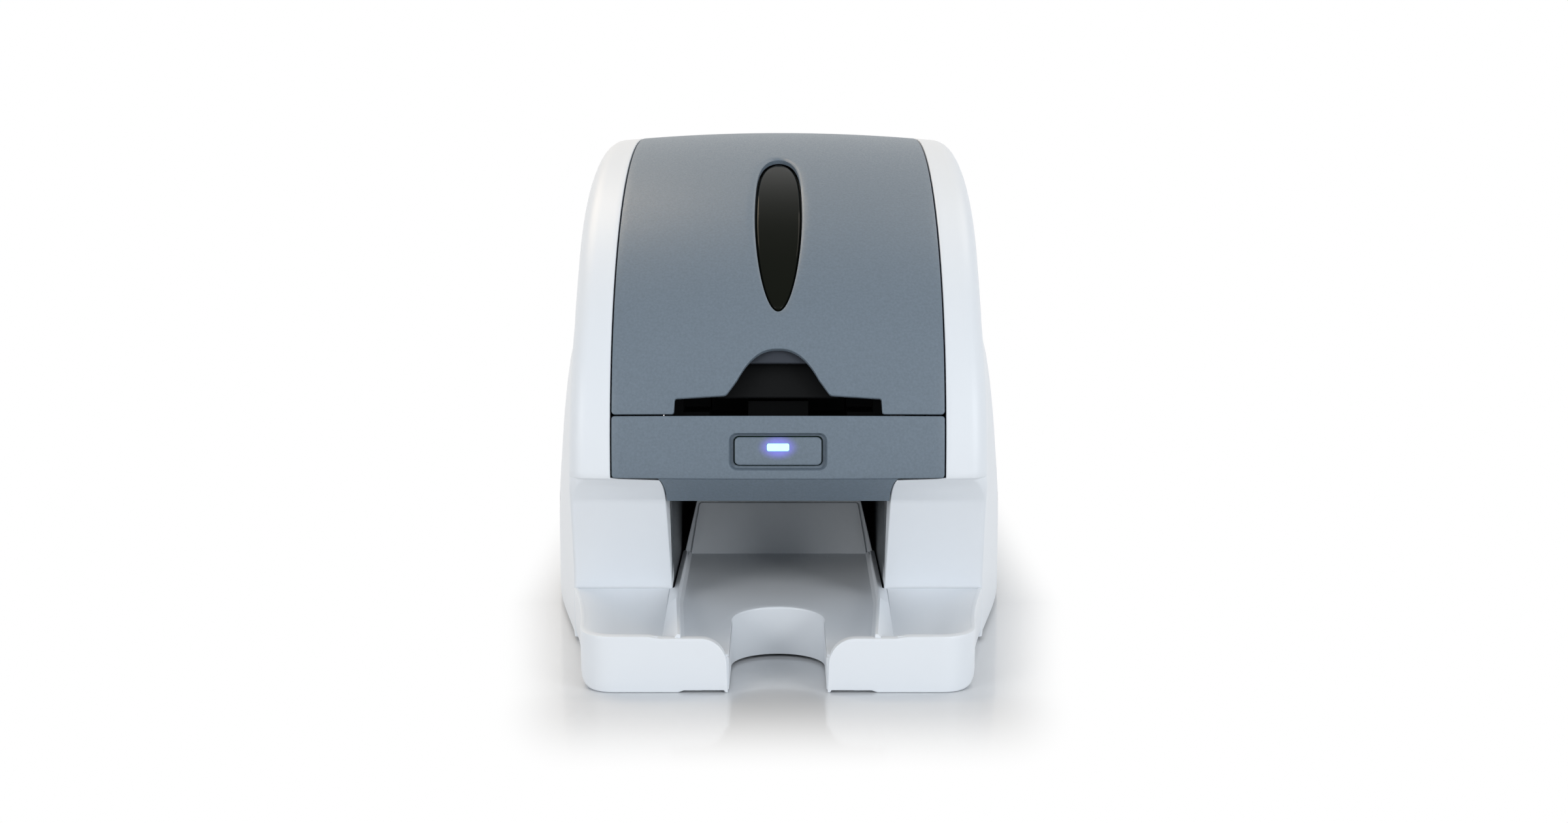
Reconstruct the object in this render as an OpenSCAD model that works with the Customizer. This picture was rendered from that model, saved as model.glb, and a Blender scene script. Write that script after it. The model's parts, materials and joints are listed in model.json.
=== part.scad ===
// Desktop printer for identity cards: a hinged lid over a card magazine, a ribbon and a
// print head, with a slide-out output hopper in front.
// +Z is up, the front faces -Y, and the origin is on the floor below the middle.

/* [Body] */
// Overall width
body_w = 200; // [192:1:220]
// Overall length, from the hopper's front to the rear
body_l = 390; // [384:1:410]
// Overall height, from the floor to the crest of the lid
body_h = 205; // [200:1:220]
// Thickness of the moulded covers
wall = 2.5; // [2:0.1:3]
// Gap between neighbouring covers
seam = 0.6; // [0.4:0.1:0.8]
// Height of the covers' lower edge above the floor
base_z = 1.5; // [1:0.1:2.5]
// Half width of the covers along the shoulder
shoulder_x = 80; // [77:0.5:84]
// Half width of the hopper's front, where the plan is narrowest
front_half = 73.5; // [70:0.5:76]
// Where the covers reach their full width, from the middle of the length
widest_y = -4; // [-20:1:10]
// How far the nose stands behind the hopper's front
nose_setback = 50; // [47:1:53]
// Height of the nose, the lower edge of the front panel
nose_z = 72; // [70:0.5:75]
// Distance from the middle of the length to the crest of the top
crest_y = 60; // [50:1:70]
// Height where the rear wall starts to curve forward
rear_z = 55; // [50:1:60]
// Squareness of the front curve, 2 is an ellipse
front_power = 2.2; // [2:0.1:2.5]
// Squareness of the rear curve
rear_power = 3.2; // [2.8:0.1:3.6]
// Fillet along the shoulder
shoulder_r = 8; // [6:0.5:10]
// Fillet of the rear corners
rear_r = 25; // [18:1:28]

/* [Lid] */
// Half width of the lid, the front panel and the rear cover
lid_half = 65; // [62:0.5:67]
// Height of the lid's front edge
lid_front_z = 96.4; // [94:0.1:98]
// Distance from the rear wall to the hinge axis
hinge_inset = 47; // [44:1:50]
// Depth of the hinge axis below the lid's surface
hinge_depth = 8; // [7.6:0.1:8.6]
// Radius of the hinge pins
hinge_pin_r = 2.5; // [2:0.1:3]
// Width of the finger slot in the lid's front edge
slot_w = 81; // [76:1:84]
// Height of the finger slot
slot_h = 6.2; // [5:0.1:7]
// Width of the dome over the slot
dome_w = 40; // [34:1:46]
// Height of the dome's top above the lid's front edge
dome_h = 26; // [20:1:28]
// Length of the window in the lid
window_l = 106; // [100:1:116]
// Width of the window in the lid
window_w = 19; // [18:0.5:24]
// How far the window's middle stands behind the nose
window_setback = 63; // [60:1:66]
// How far the window lies below the lid's surface
window_sink = 0.8; // [0.5:0.1:1.2]

/* [Front panel] */
// Width of the power button
button_w = 33.4; // [28:0.2:36]
// Height of the power button
button_h = 10.9; // [9:0.1:11.5]
// Width of the recess around the button
bezel_w = 38; // [36.6:0.2:42]
// Height of the recess around the button
bezel_h = 14.4; // [13.6:0.2:16]
// Depth of the recess around the button
bezel_depth = 0.8; // [0.5:0.1:1.2]
// Height of the button's middle
button_z = 82.7; // [82:0.1:83.4]
// Travel of the button
button_travel = 1.5; // [1:0.1:2]

/* [Cheeks and hopper] */
// Distance from the hopper's front to the parting line with the covers
parting_setback = 76; // [74:1:78]
// Height of the hopper's side walls
hopper_h = 22; // [20:0.5:24]
// How far the cheeks run back under the nose
cheek_run = 12; // [11:0.5:13]
// Fall of the sloping face under the nose
cheek_fall = 11.5; // [11:0.5:12.5]
// Half width of the gap between the cheeks
cheek_half = 43.8; // [43.4:0.1:44.2]
// Half width of the card bay at its rear
bay_half = 40; // [39:0.2:40.4]
// Half width of the card bay at the front wall
bay_front_half = 35.8; // [34:0.2:37]
// Half width of the opening in the front wall
mouth_half = 19; // [17:0.5:21]
// Radius of the finger notch in the bay's floor
notch_r = 18; // [16:0.5:20]
// Height of the bay's floor at the front
floor_front_z = 14; // [13:0.5:15]
// Rise of the bay's floor from the front to the rear
floor_rise = 7; // [5:0.5:7.5]
// Height of the hopper's rear wall
back_wall_z = 45; // [40:0.5:47]
// Length of the hopper inside the printer
hopper_tail = 73; // [70:1:74]

/* [Chassis] */
// Half distance between the chassis plates
plate_half = 43; // [42.7:0.1:43.2]
// Thickness of the chassis plates
plate_t = 2; // [1.5:0.1:2.5]
// Thickness of the base pan
pan_t = 2.5; // [2:0.1:3]
// Gap between parts of the frame that are fitted together
fit = 0.2; // [0.1:0.05:0.3]
// Radius of the rubber feet
foot_r = 9; // [7:0.5:11]

/* [Cards] */
// Length of a card
card_l = 85.6; // [85:0.1:86]
// Width of a card
card_w = 54; // [53:0.1:55]
// Thickness of a card
card_t = 0.8; // [0.5:0.05:0.9]
// Height of the card path
path_z = 92; // [91:0.5:93]
// Distance from the nose to the platen roller
platen_run = 178; // [176:1:180]
// Height of the magazine's walls above the card path
magazine_h = 48; // [42:1:50]

/* [Rollers and drive] */
// Radius of the driven rollers
roller_r = 8; // [7.5:0.1:8.5]
// Radius of the roller shafts
shaft_r = 3; // [2.5:0.1:3.3]
// Running clearance of a shaft in its bush
run_gap = 0.05; // [0.03:0.01:0.08]
// Pitch radius of the belt pulleys
pulley_r = 7; // [6:0.1:7.5]
// Thickness of the belts
belt_t = 1.2; // [1:0.1:1.5]
// Gear module
gear_mod = 0.8; // [0.78:0.01:0.82]
// Teeth of the platen gear
platen_teeth = 60; // [58:1:62]
// Teeth of the take-up gear
takeup_teeth = 48; // [46:1:50]
// Teeth of the motor pinions
pinion_teeth = 16; // [15:1:17]
// Width of the gears
gear_w = 5; // [4:0.5:6]
// Radius of the drive motor
motor_r = 17.5; // [16:0.5:18]
// Length of the drive motor
motor_l = 34; // [28:1:38]
// Radius of the ribbon motor
ribbon_motor_r = 10.5; // [9:0.5:11]

/* [Ribbon and print head] */
// Radius of the full supply spool
supply_r = 12.5; // [10:0.5:13]
// Radius of the take-up spool
takeup_r = 10.5; // [8:0.5:11]
// Half width of the ribbon
ribbon_half = 29; // [28:0.5:30]
// Length of the print head along the card path
head_l = 23; // [20:0.5:24]
// Half width of the print head
head_half = 31; // [30:0.5:32]
// Height of the print head's heat sink
head_h = 30; // [26:1:32]

/* [Hidden] */
$fn = 48;

// Main planes and points.
front_y = -body_l / 2;
rear_y = body_l / 2;
nose_y = front_y + nose_setback;
parting_y = front_y + parting_setback;
hopper_end_y = parting_y + hopper_tail;
pan_z = base_z + wall + fit;
pan_top = pan_z + pan_t;
hinge_y = rear_y - hinge_inset;
plate_out = plate_half + plate_t;
plate_front_y = parting_y + wall + 0.5;
eps = 0.01;
curve_steps = 18;

// Shafts, as [y, z] where the card path and the exit chute put them.
roller_z = path_z - roller_r;
platen = [nose_y + platen_run, roller_z];
feed = [platen[0] - 53, roller_z];
pick = [feed[0] - 40, roller_z];
chute_tilt = atan2(33.6, 56);
chute_top = [platen[0] - 21, path_z - 9.2];
chute_foot = [hopper_end_y + 2, chute_top[1] - (chute_top[0] - hopper_end_y - 2) * tan(chute_tilt)];
exit_r = 7;
exit_run = 11;
exit_contact = chute_foot + exit_run * [cos(chute_tilt), sin(chute_tilt)];
exit = exit_contact - exit_r * [-sin(chute_tilt), cos(chute_tilt)];
motor_angle = -75;
motor = platen + gear_mod * (platen_teeth + pinion_teeth) / 2 * [cos(motor_angle), sin(motor_angle)];
takeup = [platen[0] + 42, path_z + 26];
supply = [feed[0], path_z + 30];
ribbon_angle = -10;
ribbon_motor_c = takeup
    + gear_mod * (takeup_teeth + pinion_teeth) / 2 * [cos(ribbon_angle), sin(ribbon_angle)];
gear_x = plate_out + 3;
belt_x = gear_x + gear_w + 1.5;
belt_w = 5;
belt2_x = belt_x + belt_w + 1.5;
shaft_end_x = belt2_x + belt_w + 1;
pinch_r = 5;
clean_r = 6;
pinch = [feed[0], path_z + card_t + pinch_r];
clean = [feed[0] + 22, path_z + card_t + clean_r];
idler_pin_r = 2;
idler_half = 31;

// ---- Outline of the covers ----

// A point on the front curve; t runs from 0 at the nose to 90 at the crest, d is the inset.
function front_point(t, d) = [
    crest_y - (crest_y - nose_y - d) * pow(cos(t), 2 / front_power),
    nose_z + (body_h - nose_z - d) * pow(sin(t), 2 / front_power)];

// A point on the rear curve; t runs from 0 at the crest to 90 at the rear wall.
function rear_point(t, d) = [
    crest_y + (rear_y - crest_y - d) * pow(sin(t), 2 / rear_power),
    rear_z + (body_h - rear_z - d) * pow(cos(t), 2 / rear_power)];

function top_points(d) = concat(
    [for (i = [0 : curve_steps]) front_point(90 * i / curve_steps, d)],
    [for (i = [1 : curve_steps]) rear_point(90 * i / curve_steps, d)]);

function reversed(list) = [for (i = [len(list) - 1 : -1 : 0]) list[i]];

// Height of the rear curve's surface at y.
function rear_height(y) = rear_z + (body_h - rear_z)
    * pow(1 - pow((y - crest_y) / (rear_y - crest_y), rear_power), 1 / rear_power);

// Height of the front curve's surface at y.
function front_height(y) = nose_z + (body_h - nose_z)
    * pow(1 - pow((crest_y - y) / (crest_y - nose_y), front_power), 1 / front_power);

hinge_z = rear_height(hinge_y) - hinge_depth;

// Half width of the plan at y, before the sides lean in.
function smooth(t) = t <= 0 ? 0 : t >= 1 ? 1 : t * t * (3 - 2 * t);
function plan_x(y) = front_half + (body_w / 2 - front_half) * smooth((y - front_y) / (widest_y - front_y));

// How much of the plan's width is left at height z, from 1 low down to 0 at the crest.
function lean(z) = lookup(z / body_h, [[0.22, 1], [0.3, 0.92], [0.4, 0.84], [0.53, 0.65], [0.68, 0.14],
    [0.83, 0.11], [0.93, 0.04], [1, 0]]);
// The nose keeps the width that the covers have at the parting line.
function flank_x(y, z) = shoulder_x + (plan_x(max(y, parting_y)) - shoulder_x) * lean(z);

// ---- Helpers ----

// Extrudes a (y, z) outline along X.
module along_x(x0, x1) {
    translate([x0, 0, 0]) rotate([90, 0, 90]) linear_extrude(x1 - x0) children();
}

module rod(at, r, x0, x1) {
    translate([x0, at[0], at[1]]) rotate([0, 90, 0]) cylinder(r = r, h = x1 - x0);
}

module tube(at, r, hole, x0, x1) {
    difference() {
        rod(at, r, x0, x1);
        rod(at, hole, x0 - 1, x1 + 1);
    }
}

module block(low, high) {
    translate(low) cube(high - low);
}

module both_sides() {
    children();
    mirror([1, 0, 0]) children();
}

// A plate in the X-Z plane with rounded corners, from y0 to y1.
module rounded_plate(w, h, r, z, y0, y1) {
    translate([0, y1, z]) rotate([90, 0, 0]) {
        translate([-w / 2 + r, -h / 2, 0]) cube([w - 2 * r, h, y1 - y0]);
        translate([-w / 2, -h / 2 + r, 0]) cube([w, h - 2 * r, y1 - y0]);
        for (x = [-1, 1], z = [-1, 1])
            translate([x * (w / 2 - r), z * (h / 2 - r), 0]) cylinder(r = r, h = y1 - y0);
    }
}

// ---- Gears ----

pressure = 20;
addendum = 0.8;
dedendum = 1.05;
backlash = 0.12;

function inv_deg(a) = tan(a) * 180 / PI - a;
function flank_angle(teeth, r) = let (pitch = gear_mod * teeth / 2, base = pitch * cos(pressure))
    90 / teeth - backlash * 180 / PI / pitch / 2 + inv_deg(pressure)
    - (r > base ? inv_deg(acos(base / r)) : 0);
function gear_points(teeth, turn) = let (
        pitch = gear_mod * teeth / 2,
        root = pitch - dedendum * gear_mod,
        tip = pitch + addendum * gear_mod,
        radii = [root, pitch - 0.35 * gear_mod, pitch + 0.1 * gear_mod, tip])
    [for (i = [0 : teeth - 1], k = [0 : 7])
        let (r = radii[k < 4 ? k : 7 - k], side = k < 4 ? -1 : 1,
            a = turn + 360 * i / teeth + side * flank_angle(teeth, r))
        r * [cos(a), sin(a)]];

module gear(at, teeth, turn, hub, x0) {
    difference() {
        translate([0, at[0], at[1]]) along_x(x0, x0 + gear_w) polygon(gear_points(teeth, turn));
        rod(at, hub, x0 - 1, x0 + gear_w + 1);
    }
}

// A belt round two equal pulleys.
module belt(a, b, x0) {
    d = b - a;
    inner = pulley_r + run_gap;
    outer = inner + belt_t;
    translate([x0, a[0], a[1]]) rotate([atan2(d[1], d[0]), 0, 0]) difference() {
        union() {
            rod([0, 0], outer, 0, belt_w);
            rod([norm(d), 0], outer, 0, belt_w);
            block([0, 0, -outer], [belt_w, norm(d), outer]);
        }
        rod([0, 0], inner, -1, belt_w + 1);
        rod([norm(d), 0], inner, -1, belt_w + 1);
        block([-1, 0, -inner], [belt_w + 1, norm(d), inner]);
    }
}

module pulley(at, x0) {
    tube(at, pulley_r, shaft_r, x0, x0 + belt_w);
}

// ---- Side covers ----

cheek_top = [nose_y + cheek_run, nose_z - cheek_fall];
cheek_sag = 5;
cheek_mid = [parting_y - 1, (cheek_top[1] + hopper_h) / 2];
cover_centre = [30, 90];
base_lip = 5;

// Quadratic curve through a and c, drawn towards b.
function bend(a, b, c, t) = (1 - t) * (1 - t) * a + 2 * t * (1 - t) * b + t * t * c;

// Stations along the covers' lower edge, from the rear corner to the front.
skirt_steps = 8;
function skirt_y(k) = (rear_y - rear_r - 5) * (1 - k / skirt_steps) + (parting_y + 6) * k / skirt_steps;

// One row for each point round the cover: [y, z, x of the inner edge, fillet, inward normal].
function cover_rows(d) = let (
        edge_x = lid_half + seam,
        small_r = max(2 - d, 0.3),
        rear_fillet = rear_r - d,
        top_fillet = shoulder_r - d,
        base = base_z + d,
        lip_x = plan_x(0) - wall - base_lip)
    concat(
        [for (i = [0 : curve_steps]) let (t = 90 * i / curve_steps, p = front_point(t, d),
            n = curve_normal(front_point(max(t - 1, 0), d), front_point(min(t + 1, 90), d)))
            [p[0], p[1], edge_x, top_fillet, n]],
        [for (i = [1 : 12]) let (t = 7.5 * i, p = rear_point(t, d), k = i * i / 144,
            n = curve_normal(rear_point(t - 1, d), rear_point(min(t + 1, 90), d)))
            [p[0], p[1], edge_x, top_fillet * (1 - k) + rear_fillet * k, n]],
        [for (k = [0.35, 0.7, 1]) [rear_y - d, rear_z * (1 - k) + base * k, edge_x, rear_fillet, [-1, 0]]],
        [for (k = [0 : skirt_steps]) let (y = skirt_y(k))
            [y, base, flank_x(y, base) - wall - base_lip, small_r, [0, 1]]],
        [for (z = [base, hopper_h]) [parting_y + d, z, cheek_half, small_r, [1, 0]]],
        [for (k = [0.25, 0.5, 0.75, 1])
            let (p = bend([parting_y, hopper_h], cheek_mid, cheek_top, k))
            [p[0] + d, p[1] + (k == 1 ? 0.4 * d : 0), cheek_half, small_r, [1, 0]]],
        [[nose_y + seam + d, nose_z - seam, cheek_half, small_r, [1, 0]]]);

function curve_normal(a, b) = let (t = (b - a) / norm(b - a)) [t[1], -t[0]];

fillet_steps = 3;
radial_steps = [0.1, 0.25, 0.45, 0.65, 0.85];
row_points = 2 + fillet_steps + len(radial_steps);

// The points of one row, from the inner edge over the fillet towards the centre.
function row_skin(row, d) = let (
        p = [row[0], row[1]], r = row[3], n = row[4], e = p + r * n,
        x_edge = flank_x(e[0], e[1]) - d)
    concat(
        [[row[2], p[0], p[1]], [x_edge - r, p[0], p[1]]],
        [for (i = [1 : fillet_steps]) let (a = 90 * i / fillet_steps, q = p + r * (1 - cos(a)) * n)
            [x_edge - r + r * sin(a), q[0], q[1]]],
        [for (k = radial_steps) let (q = e + k * (cover_centre - e)) [flank_x(q[0], q[1]) - d, q[0], q[1]]]);

module side_cover() {
    outer = cover_rows(0);
    inner = cover_rows(wall);
    rows = len(outer);
    skin = rows * row_points;
    c = cover_centre;
    points = concat(
        [for (row = outer) each row_skin(row, 0)],
        [[flank_x(c[0], c[1]), c[0], c[1]]],
        [for (row = inner) each row_skin(row, wall)],
        [[flank_x(c[0], c[1]) - wall, c[0], c[1]]]);
    faces = [for (i = [0 : rows - 1]) let (a = i * row_points, b = ((i + 1) % rows) * row_points,
            last = row_points - 1, far = skin + 1)
        each concat(
            [for (k = [0 : row_points - 2]) each [[a + k, b + k, b + k + 1], [a + k, b + k + 1, a + k + 1]]],
            [[a + last, b + last, skin]],
            [for (k = [0 : row_points - 2]) each [
                [far + a + k, far + b + k + 1, far + b + k], [far + a + k, far + a + k + 1, far + b + k + 1]]],
            [[far + a + last, far + skin, far + b + last]],
            [[a, far + b, b], [a, far + a, far + b]])];
    polyhedron(points, faces);
}

module left_side_cover() {
    color("#dce2ea") mirror([1, 0, 0]) side_cover();
}

module right_side_cover() {
    color("#dce2ea") side_cover();
}

// ---- Lid, front panel and rear cover ----

// The shell between two insets of the top curve.
module top_band(d0, d1, x0, x1) {
    along_x(x0, x1) polygon(concat(top_points(d0), reversed(top_points(d1))));
}

module below(z) {
    block([-body_w, -body_l, -1], [body_w, body_l, z]);
}

module behind(y) {
    block([-body_w, y, -1], [body_w, body_l, body_h + 1]);
}

hinge_seam_r = hinge_depth + 0.3;

// Everything behind the hinge's seam, which is round about the hinge axis.
module behind_hinge(grow) {
    difference() {
        behind(hinge_y);
        rod([hinge_y, hinge_z], hinge_seam_r + grow, -body_w - 1, body_w + 1);
    }
}

dome_steps = 10;
dome_foot = slot_h + 1.2;
function dome_points() = [for (i = [-dome_steps : dome_steps]) let (u = i / dome_steps)
    [dome_w / 2 * u, lid_front_z + dome_foot + (dome_h - dome_foot) * (1 - pow(abs(u), 2.2))]];

module slot_and_dome() {
    translate([0, crest_y, 0]) rotate([90, 0, 0]) linear_extrude(body_l) {
        polygon(concat(
            [[-slot_w / 2, lid_front_z - 1], [-slot_w / 2, lid_front_z + slot_h]],
            dome_points(),
            [[slot_w / 2, lid_front_z + slot_h], [slot_w / 2, lid_front_z - 1]]));
    }
}

window_steps = 16;
window_y = nose_y + window_setback;
window_tilt = 33.1;
window_bow = 10;
window_z = front_height(window_y) - window_bow;
// Egg outline, widest in its upper third and pointed at the foot.
function window_points(grow) = [for (i = [0 : 2 * window_steps - 1])
    let (a = 180 * i / window_steps, v = sin(a), w = window_w / 2 + grow)
    [w * cos(a) * (1 + 0.18 * v - 0.12 * v * v), (window_l / 2 + grow) * v]];

module window_prism(grow) {
    translate([0, window_y, window_z]) rotate([window_tilt, 0, 0])
        translate([0, 0, -20]) linear_extrude(60) polygon(window_points(grow));
}

rim_w = 2.2;
rim_depth = 9;
module lid_shell() {
    color("#707a84") difference() {
        union() {
            top_band(0, wall, -lid_half, lid_half);
            both_sides() top_band(wall - eps, rim_depth, lid_half - rim_w, lid_half);
        }
        below(lid_front_z);
        behind_hinge(0);
        slot_and_dome();
        window_prism(0);
    }
}

module lid_window() {
    color("#1c1e1a") intersection() {
        top_band(window_sink, wall, -lid_half, lid_half);
        window_prism(-fit);
    }
}

// Frame under the lid: two long ribs, the hinge knuckles, the latch tongues and the head's arms.
rib_x = 50;
rib_w = 3;
rib_depth = 12;
knuckle_r = hinge_depth - wall + 0.5;
tongue_y = nose_y + 9;
tongue_z = lid_front_z - 8;
arm_half = 26;
arm_w = 4;
arm_l = 16;
head_pin_z = path_z + 41;
head_pin_r = 2;
head_y = platen[0];
module lid_frame() {
    color("#2b2d30") difference() {
        union() {
            both_sides() {
                difference() {
                    top_band(wall, rib_depth, rib_x, rib_x + rib_w);
                    below(lid_front_z + 4);
                    behind(hinge_y);
                }
                intersection() {
                    union() {
                        rod([hinge_y, hinge_z], knuckle_r, plate_out + 1, rib_x + rib_w);
                        block([plate_out + 1, hinge_y - knuckle_r, hinge_z],
                            [rib_x + rib_w, hinge_y + 1, body_h]);
                    }
                    under_lid(wall);
                }
                intersection() {
                    block([rib_x, tongue_y, tongue_z], [rib_x + 6, tongue_y + 2.5, lid_front_z + 30]);
                    under_lid(wall);
                }
                intersection() {
                    block([arm_half, head_y - arm_l / 2, head_pin_z - 5],
                        [arm_half + arm_w, head_y + arm_l / 2, body_h]);
                    under_lid(wall);
                }
                intersection() {
                    block([arm_half, head_y - 3, body_h - wall - 14], [rib_x + rib_w, head_y + 3, body_h]);
                    under_lid(wall);
                }
            }
        }
        rod([hinge_y, hinge_z], hinge_pin_r + run_gap, -body_w, body_w);
        rod([head_y, head_pin_z], head_pin_r + run_gap, -body_w, body_w);
    }
}

// The space inside the top curve, inset by d.
module under_lid(d) {
    along_x(-body_w, body_w) polygon(concat([[nose_y + d, 0]], top_points(d), [[rear_y - d, 0]]));
}

port_fit = 0.3;
board_z = pan_top + 7.5;
board_t = 1.6;
board_top = board_z + board_t;
port_y = rear_y - 0.5;
usb_x = -24;
usb = [12, 16, 11];
net_x = 0;
net = [16, 18, 13.5];
inlet_x = 25;
inlet = [14, 14, 12];
switch_x = -50;
switch_z = 36;
switch_size = [21, 14, 14];
vent_z = 62;
vent_pitch = 7;
module rear_cover() {
    color("#dce2ea") difference() {
        along_x(-lid_half, lid_half) polygon(concat(
            [for (i = [0 : curve_steps]) rear_point(90 * i / curve_steps, 0)],
            [[rear_y, base_z], [rear_y - wall, base_z]],
            reversed([for (i = [0 : curve_steps]) rear_point(90 * i / curve_steps, wall)])));
        difference() {
            block([-body_w, -body_l, 0], [body_w, rear_y - wall - 1, body_h + 1]);
            behind_hinge(seam);
        }
        port_hole(usb_x, board_top, usb);
        port_hole(net_x, board_top, net);
        port_hole(inlet_x, board_top, inlet);
        port_hole(switch_x, switch_z, switch_size);
        for (i = [0 : 6], x = [-36, -12, 12, 36])
            block([x - 9, rear_y - 50, vent_z + i * vent_pitch], [x + 9, rear_y + 1, vent_z + i * vent_pitch + 2.5]);
        both_sides() {
            screw_hole(cover_screw_at[0], 1.6);
            translate([0, wall - 1.2, 0]) screw_hole(cover_screw_at[0], 3.2);
        }
    }
}

module port_hole(x, z, size) {
    block([x - size[0] / 2 - port_fit, rear_y - wall - 1, z - port_fit],
        [x + size[0] / 2 + port_fit, rear_y + 1, z + size[2] + port_fit]);
}

cover_screw_at = [[57, 13]];
module screw_hole(at, r) {
    translate([at[0], rear_y - wall, at[1]]) rotate([-90, 0, 0]) cylinder(r = r, h = wall + 1);
}

module cover_screws() {
    color("#8a8d92") both_sides() for (at = cover_screw_at) {
        translate([at[0], rear_y - 8, at[1]]) rotate([-90, 0, 0]) cylinder(r = 1.5, h = 8 - 1.2);
        translate([at[0], rear_y - 1.2, at[1]]) rotate([-90, 0, 0]) difference() {
            cylinder(r = 3, h = 1);
            translate([0, 0, 0.4]) cylinder(r = 1.6, h = 1, $fn = 6);
        }
    }
}

// ---- Front panel with its button ----

button_y = nose_y - 0.4;
tab_w = 2.5;
module front_panel() {
    color("#707a84") difference() {
        union() {
            difference() {
                top_band(0, wall, -lid_half, lid_half);
                block([-body_w, -body_l, lid_front_z - seam], [body_w, body_l, body_h + 1]);
                behind(0);
            }
            along_x(-cheek_half + seam, cheek_half - seam) polygon([[nose_y, nose_z], cheek_top,
                cheek_top + [wall, 0], [nose_y + wall + 1, nose_z]]);
            both_sides() {
                block([plate_out, nose_y + wall / 2, nose_z + 1], [plate_out + tab_w, plate_front_y + 6, nose_z + 5]);
                block([status_half - 4, nose_y + wall / 2, button_z - 7], [status_half, status_y, button_z + 7]);
            }
        }
        rounded_plate(bezel_w, bezel_h, 3, button_z, nose_y - 1, nose_y + bezel_depth);
        rounded_plate(button_w + 2 * fit, button_h + 2 * fit, 1.3, button_z, nose_y - 1, nose_y + wall + 2);
    }
}

status_half = 26;
status_y = nose_y + 8;
module status_board() {
    color("#1f5136") block([-status_half, status_y, button_z - 9], [status_half, status_y + 1.6, button_z + 9]);
    color("#26282b") block([-4, status_y - 2, button_z - 3], [4, status_y, button_z + 3]);
}

light_w = 9.2;
light_h = 3.4;
light_z = button_z + 1.5;
module front_button() {
    color("#a9b1ba") difference() {
        union() {
            rounded_plate(button_w, button_h, 1.2, button_z, button_y, nose_y + wall + 1);
            block([-3, nose_y + wall + 1 - eps, button_z - 2.5],
                [3, status_y - 2 - button_travel - 0.1, button_z + 2.5]);
        }
        rounded_plate(light_w + 0.1, light_h + 0.1, 0.8, light_z, button_y - 1, button_y + 1.5);
    }
}

module status_light() {
    color("#9fd0ff") rounded_plate(light_w, light_h, 0.75, light_z, button_y, button_y + 1.5);
}

// ---- Base and chassis ----

tail_half = plate_half - 0.5;
rail_w = 5;
pan_gap = 1;
function pan_side() = concat(
    [[flank_x(plate_front_y, pan_top) - wall - pan_gap, plate_front_y]],
    [for (k = [skirt_steps : -1 : 0]) [flank_x(skirt_y(k), pan_top) - wall - pan_gap, skirt_y(k)]]);
function corner_points(r) = [for (a = [15 : 15 : 90])
    [body_w / 2 - rear_r + r * cos(a), rear_y - rear_r + r * sin(a)]];
standoff_x = 36;
standoff_y = [rear_y - 92, rear_y - 12];
module base_pan() {
    color("#3a3d41") difference() {
        union() {
            translate([0, 0, pan_z]) linear_extrude(pan_t) polygon(concat(
                pan_side(), corner_points(rear_r - wall - 1.2),
                reversed([for (p = concat(pan_side(), corner_points(rear_r - wall - 1.2))) [-p[0], p[1]]])));
            for (x = [-1, 1], y = standoff_y)
                translate([x * standoff_x, y, pan_top - eps]) cylinder(r = 3.2, h = board_z - pan_top + eps);
            both_sides() block([52, rear_y - wall - fit - 5, pan_top - eps],
                [62, rear_y - wall - fit, cover_screw_at[0][1] + 5]);
        }
        block([-tail_half + rail_w, plate_front_y - 1, 0], [tail_half - rail_w, hopper_end_y + 1, pan_top + 1]);
        for (x = [-1, 1], y = standoff_y)
            translate([x * standoff_x, y, board_z - 5]) cylinder(r = 1.5, h = 6);
        both_sides() for (at = cover_screw_at)
            translate([at[0], rear_y - 9, at[1]]) rotate([-90, 0, 0]) cylinder(r = 1.5, h = 9);
    }
}

foot_y = [plate_front_y + foot_r + 3, rear_y - rear_r - foot_r];
module rubber_feet() {
    color("#2a2a2c") both_sides() for (y = foot_y)
        translate([plan_x(foot_y[0]) - wall - base_lip - foot_r - 1, y, 0]) {
            cylinder(r1 = foot_r - 0.8, r2 = foot_r, h = base_z);
            translate([0, 0, base_z - eps]) cylinder(r = foot_r, h = pan_z - base_z + eps);
        }
}

plate_top = path_z + 38;
plate_rear_y = rear_y - 35;
// The plates' ears round the hinge pins stay clear of the lid as it turns.
hinge_slope = atan(rear_height(hinge_y - 0.5) - rear_height(hinge_y + 0.5));
ear_r = hinge_depth * cos(hinge_slope) - wall - 1;
module chassis_plate() {
    difference() {
        union() {
            along_x(plate_half, plate_out) polygon([
                [plate_front_y, pan_top], [plate_rear_y, pan_top], [plate_rear_y, hinge_z - 40],
                [hinge_y, hinge_z - 22], [hinge_y, hinge_z], [hinge_y - ear_r, hinge_z],
                [hinge_y - ear_r - 3, hinge_z - 12], [hinge_y - 40, plate_top], [plate_front_y, plate_top]]);
            rod([hinge_y, hinge_z], ear_r, plate_half, plate_out);
        }
        for (at = [pick, feed, platen, exit]) rod(at, shaft_r + bush_wall, 0, body_w);
        rod([hinge_y, hinge_z], hinge_pin_r, 0, body_w);
        rod(flap_pin, idler_pin_r + run_gap, 0, body_w);
        children();
    }
}

module left_chassis_plate() {
    color("#35383c") mirror([1, 0, 0]) chassis_plate();
}

module right_chassis_plate() {
    color("#35383c") chassis_plate() {
        rod(motor, motor_boss_r, 0, body_w);
        rod(ribbon_motor_c, motor_boss_r, 0, body_w);
        rod(takeup, shaft_r + bush_wall, 0, body_w);
    }
}

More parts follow.
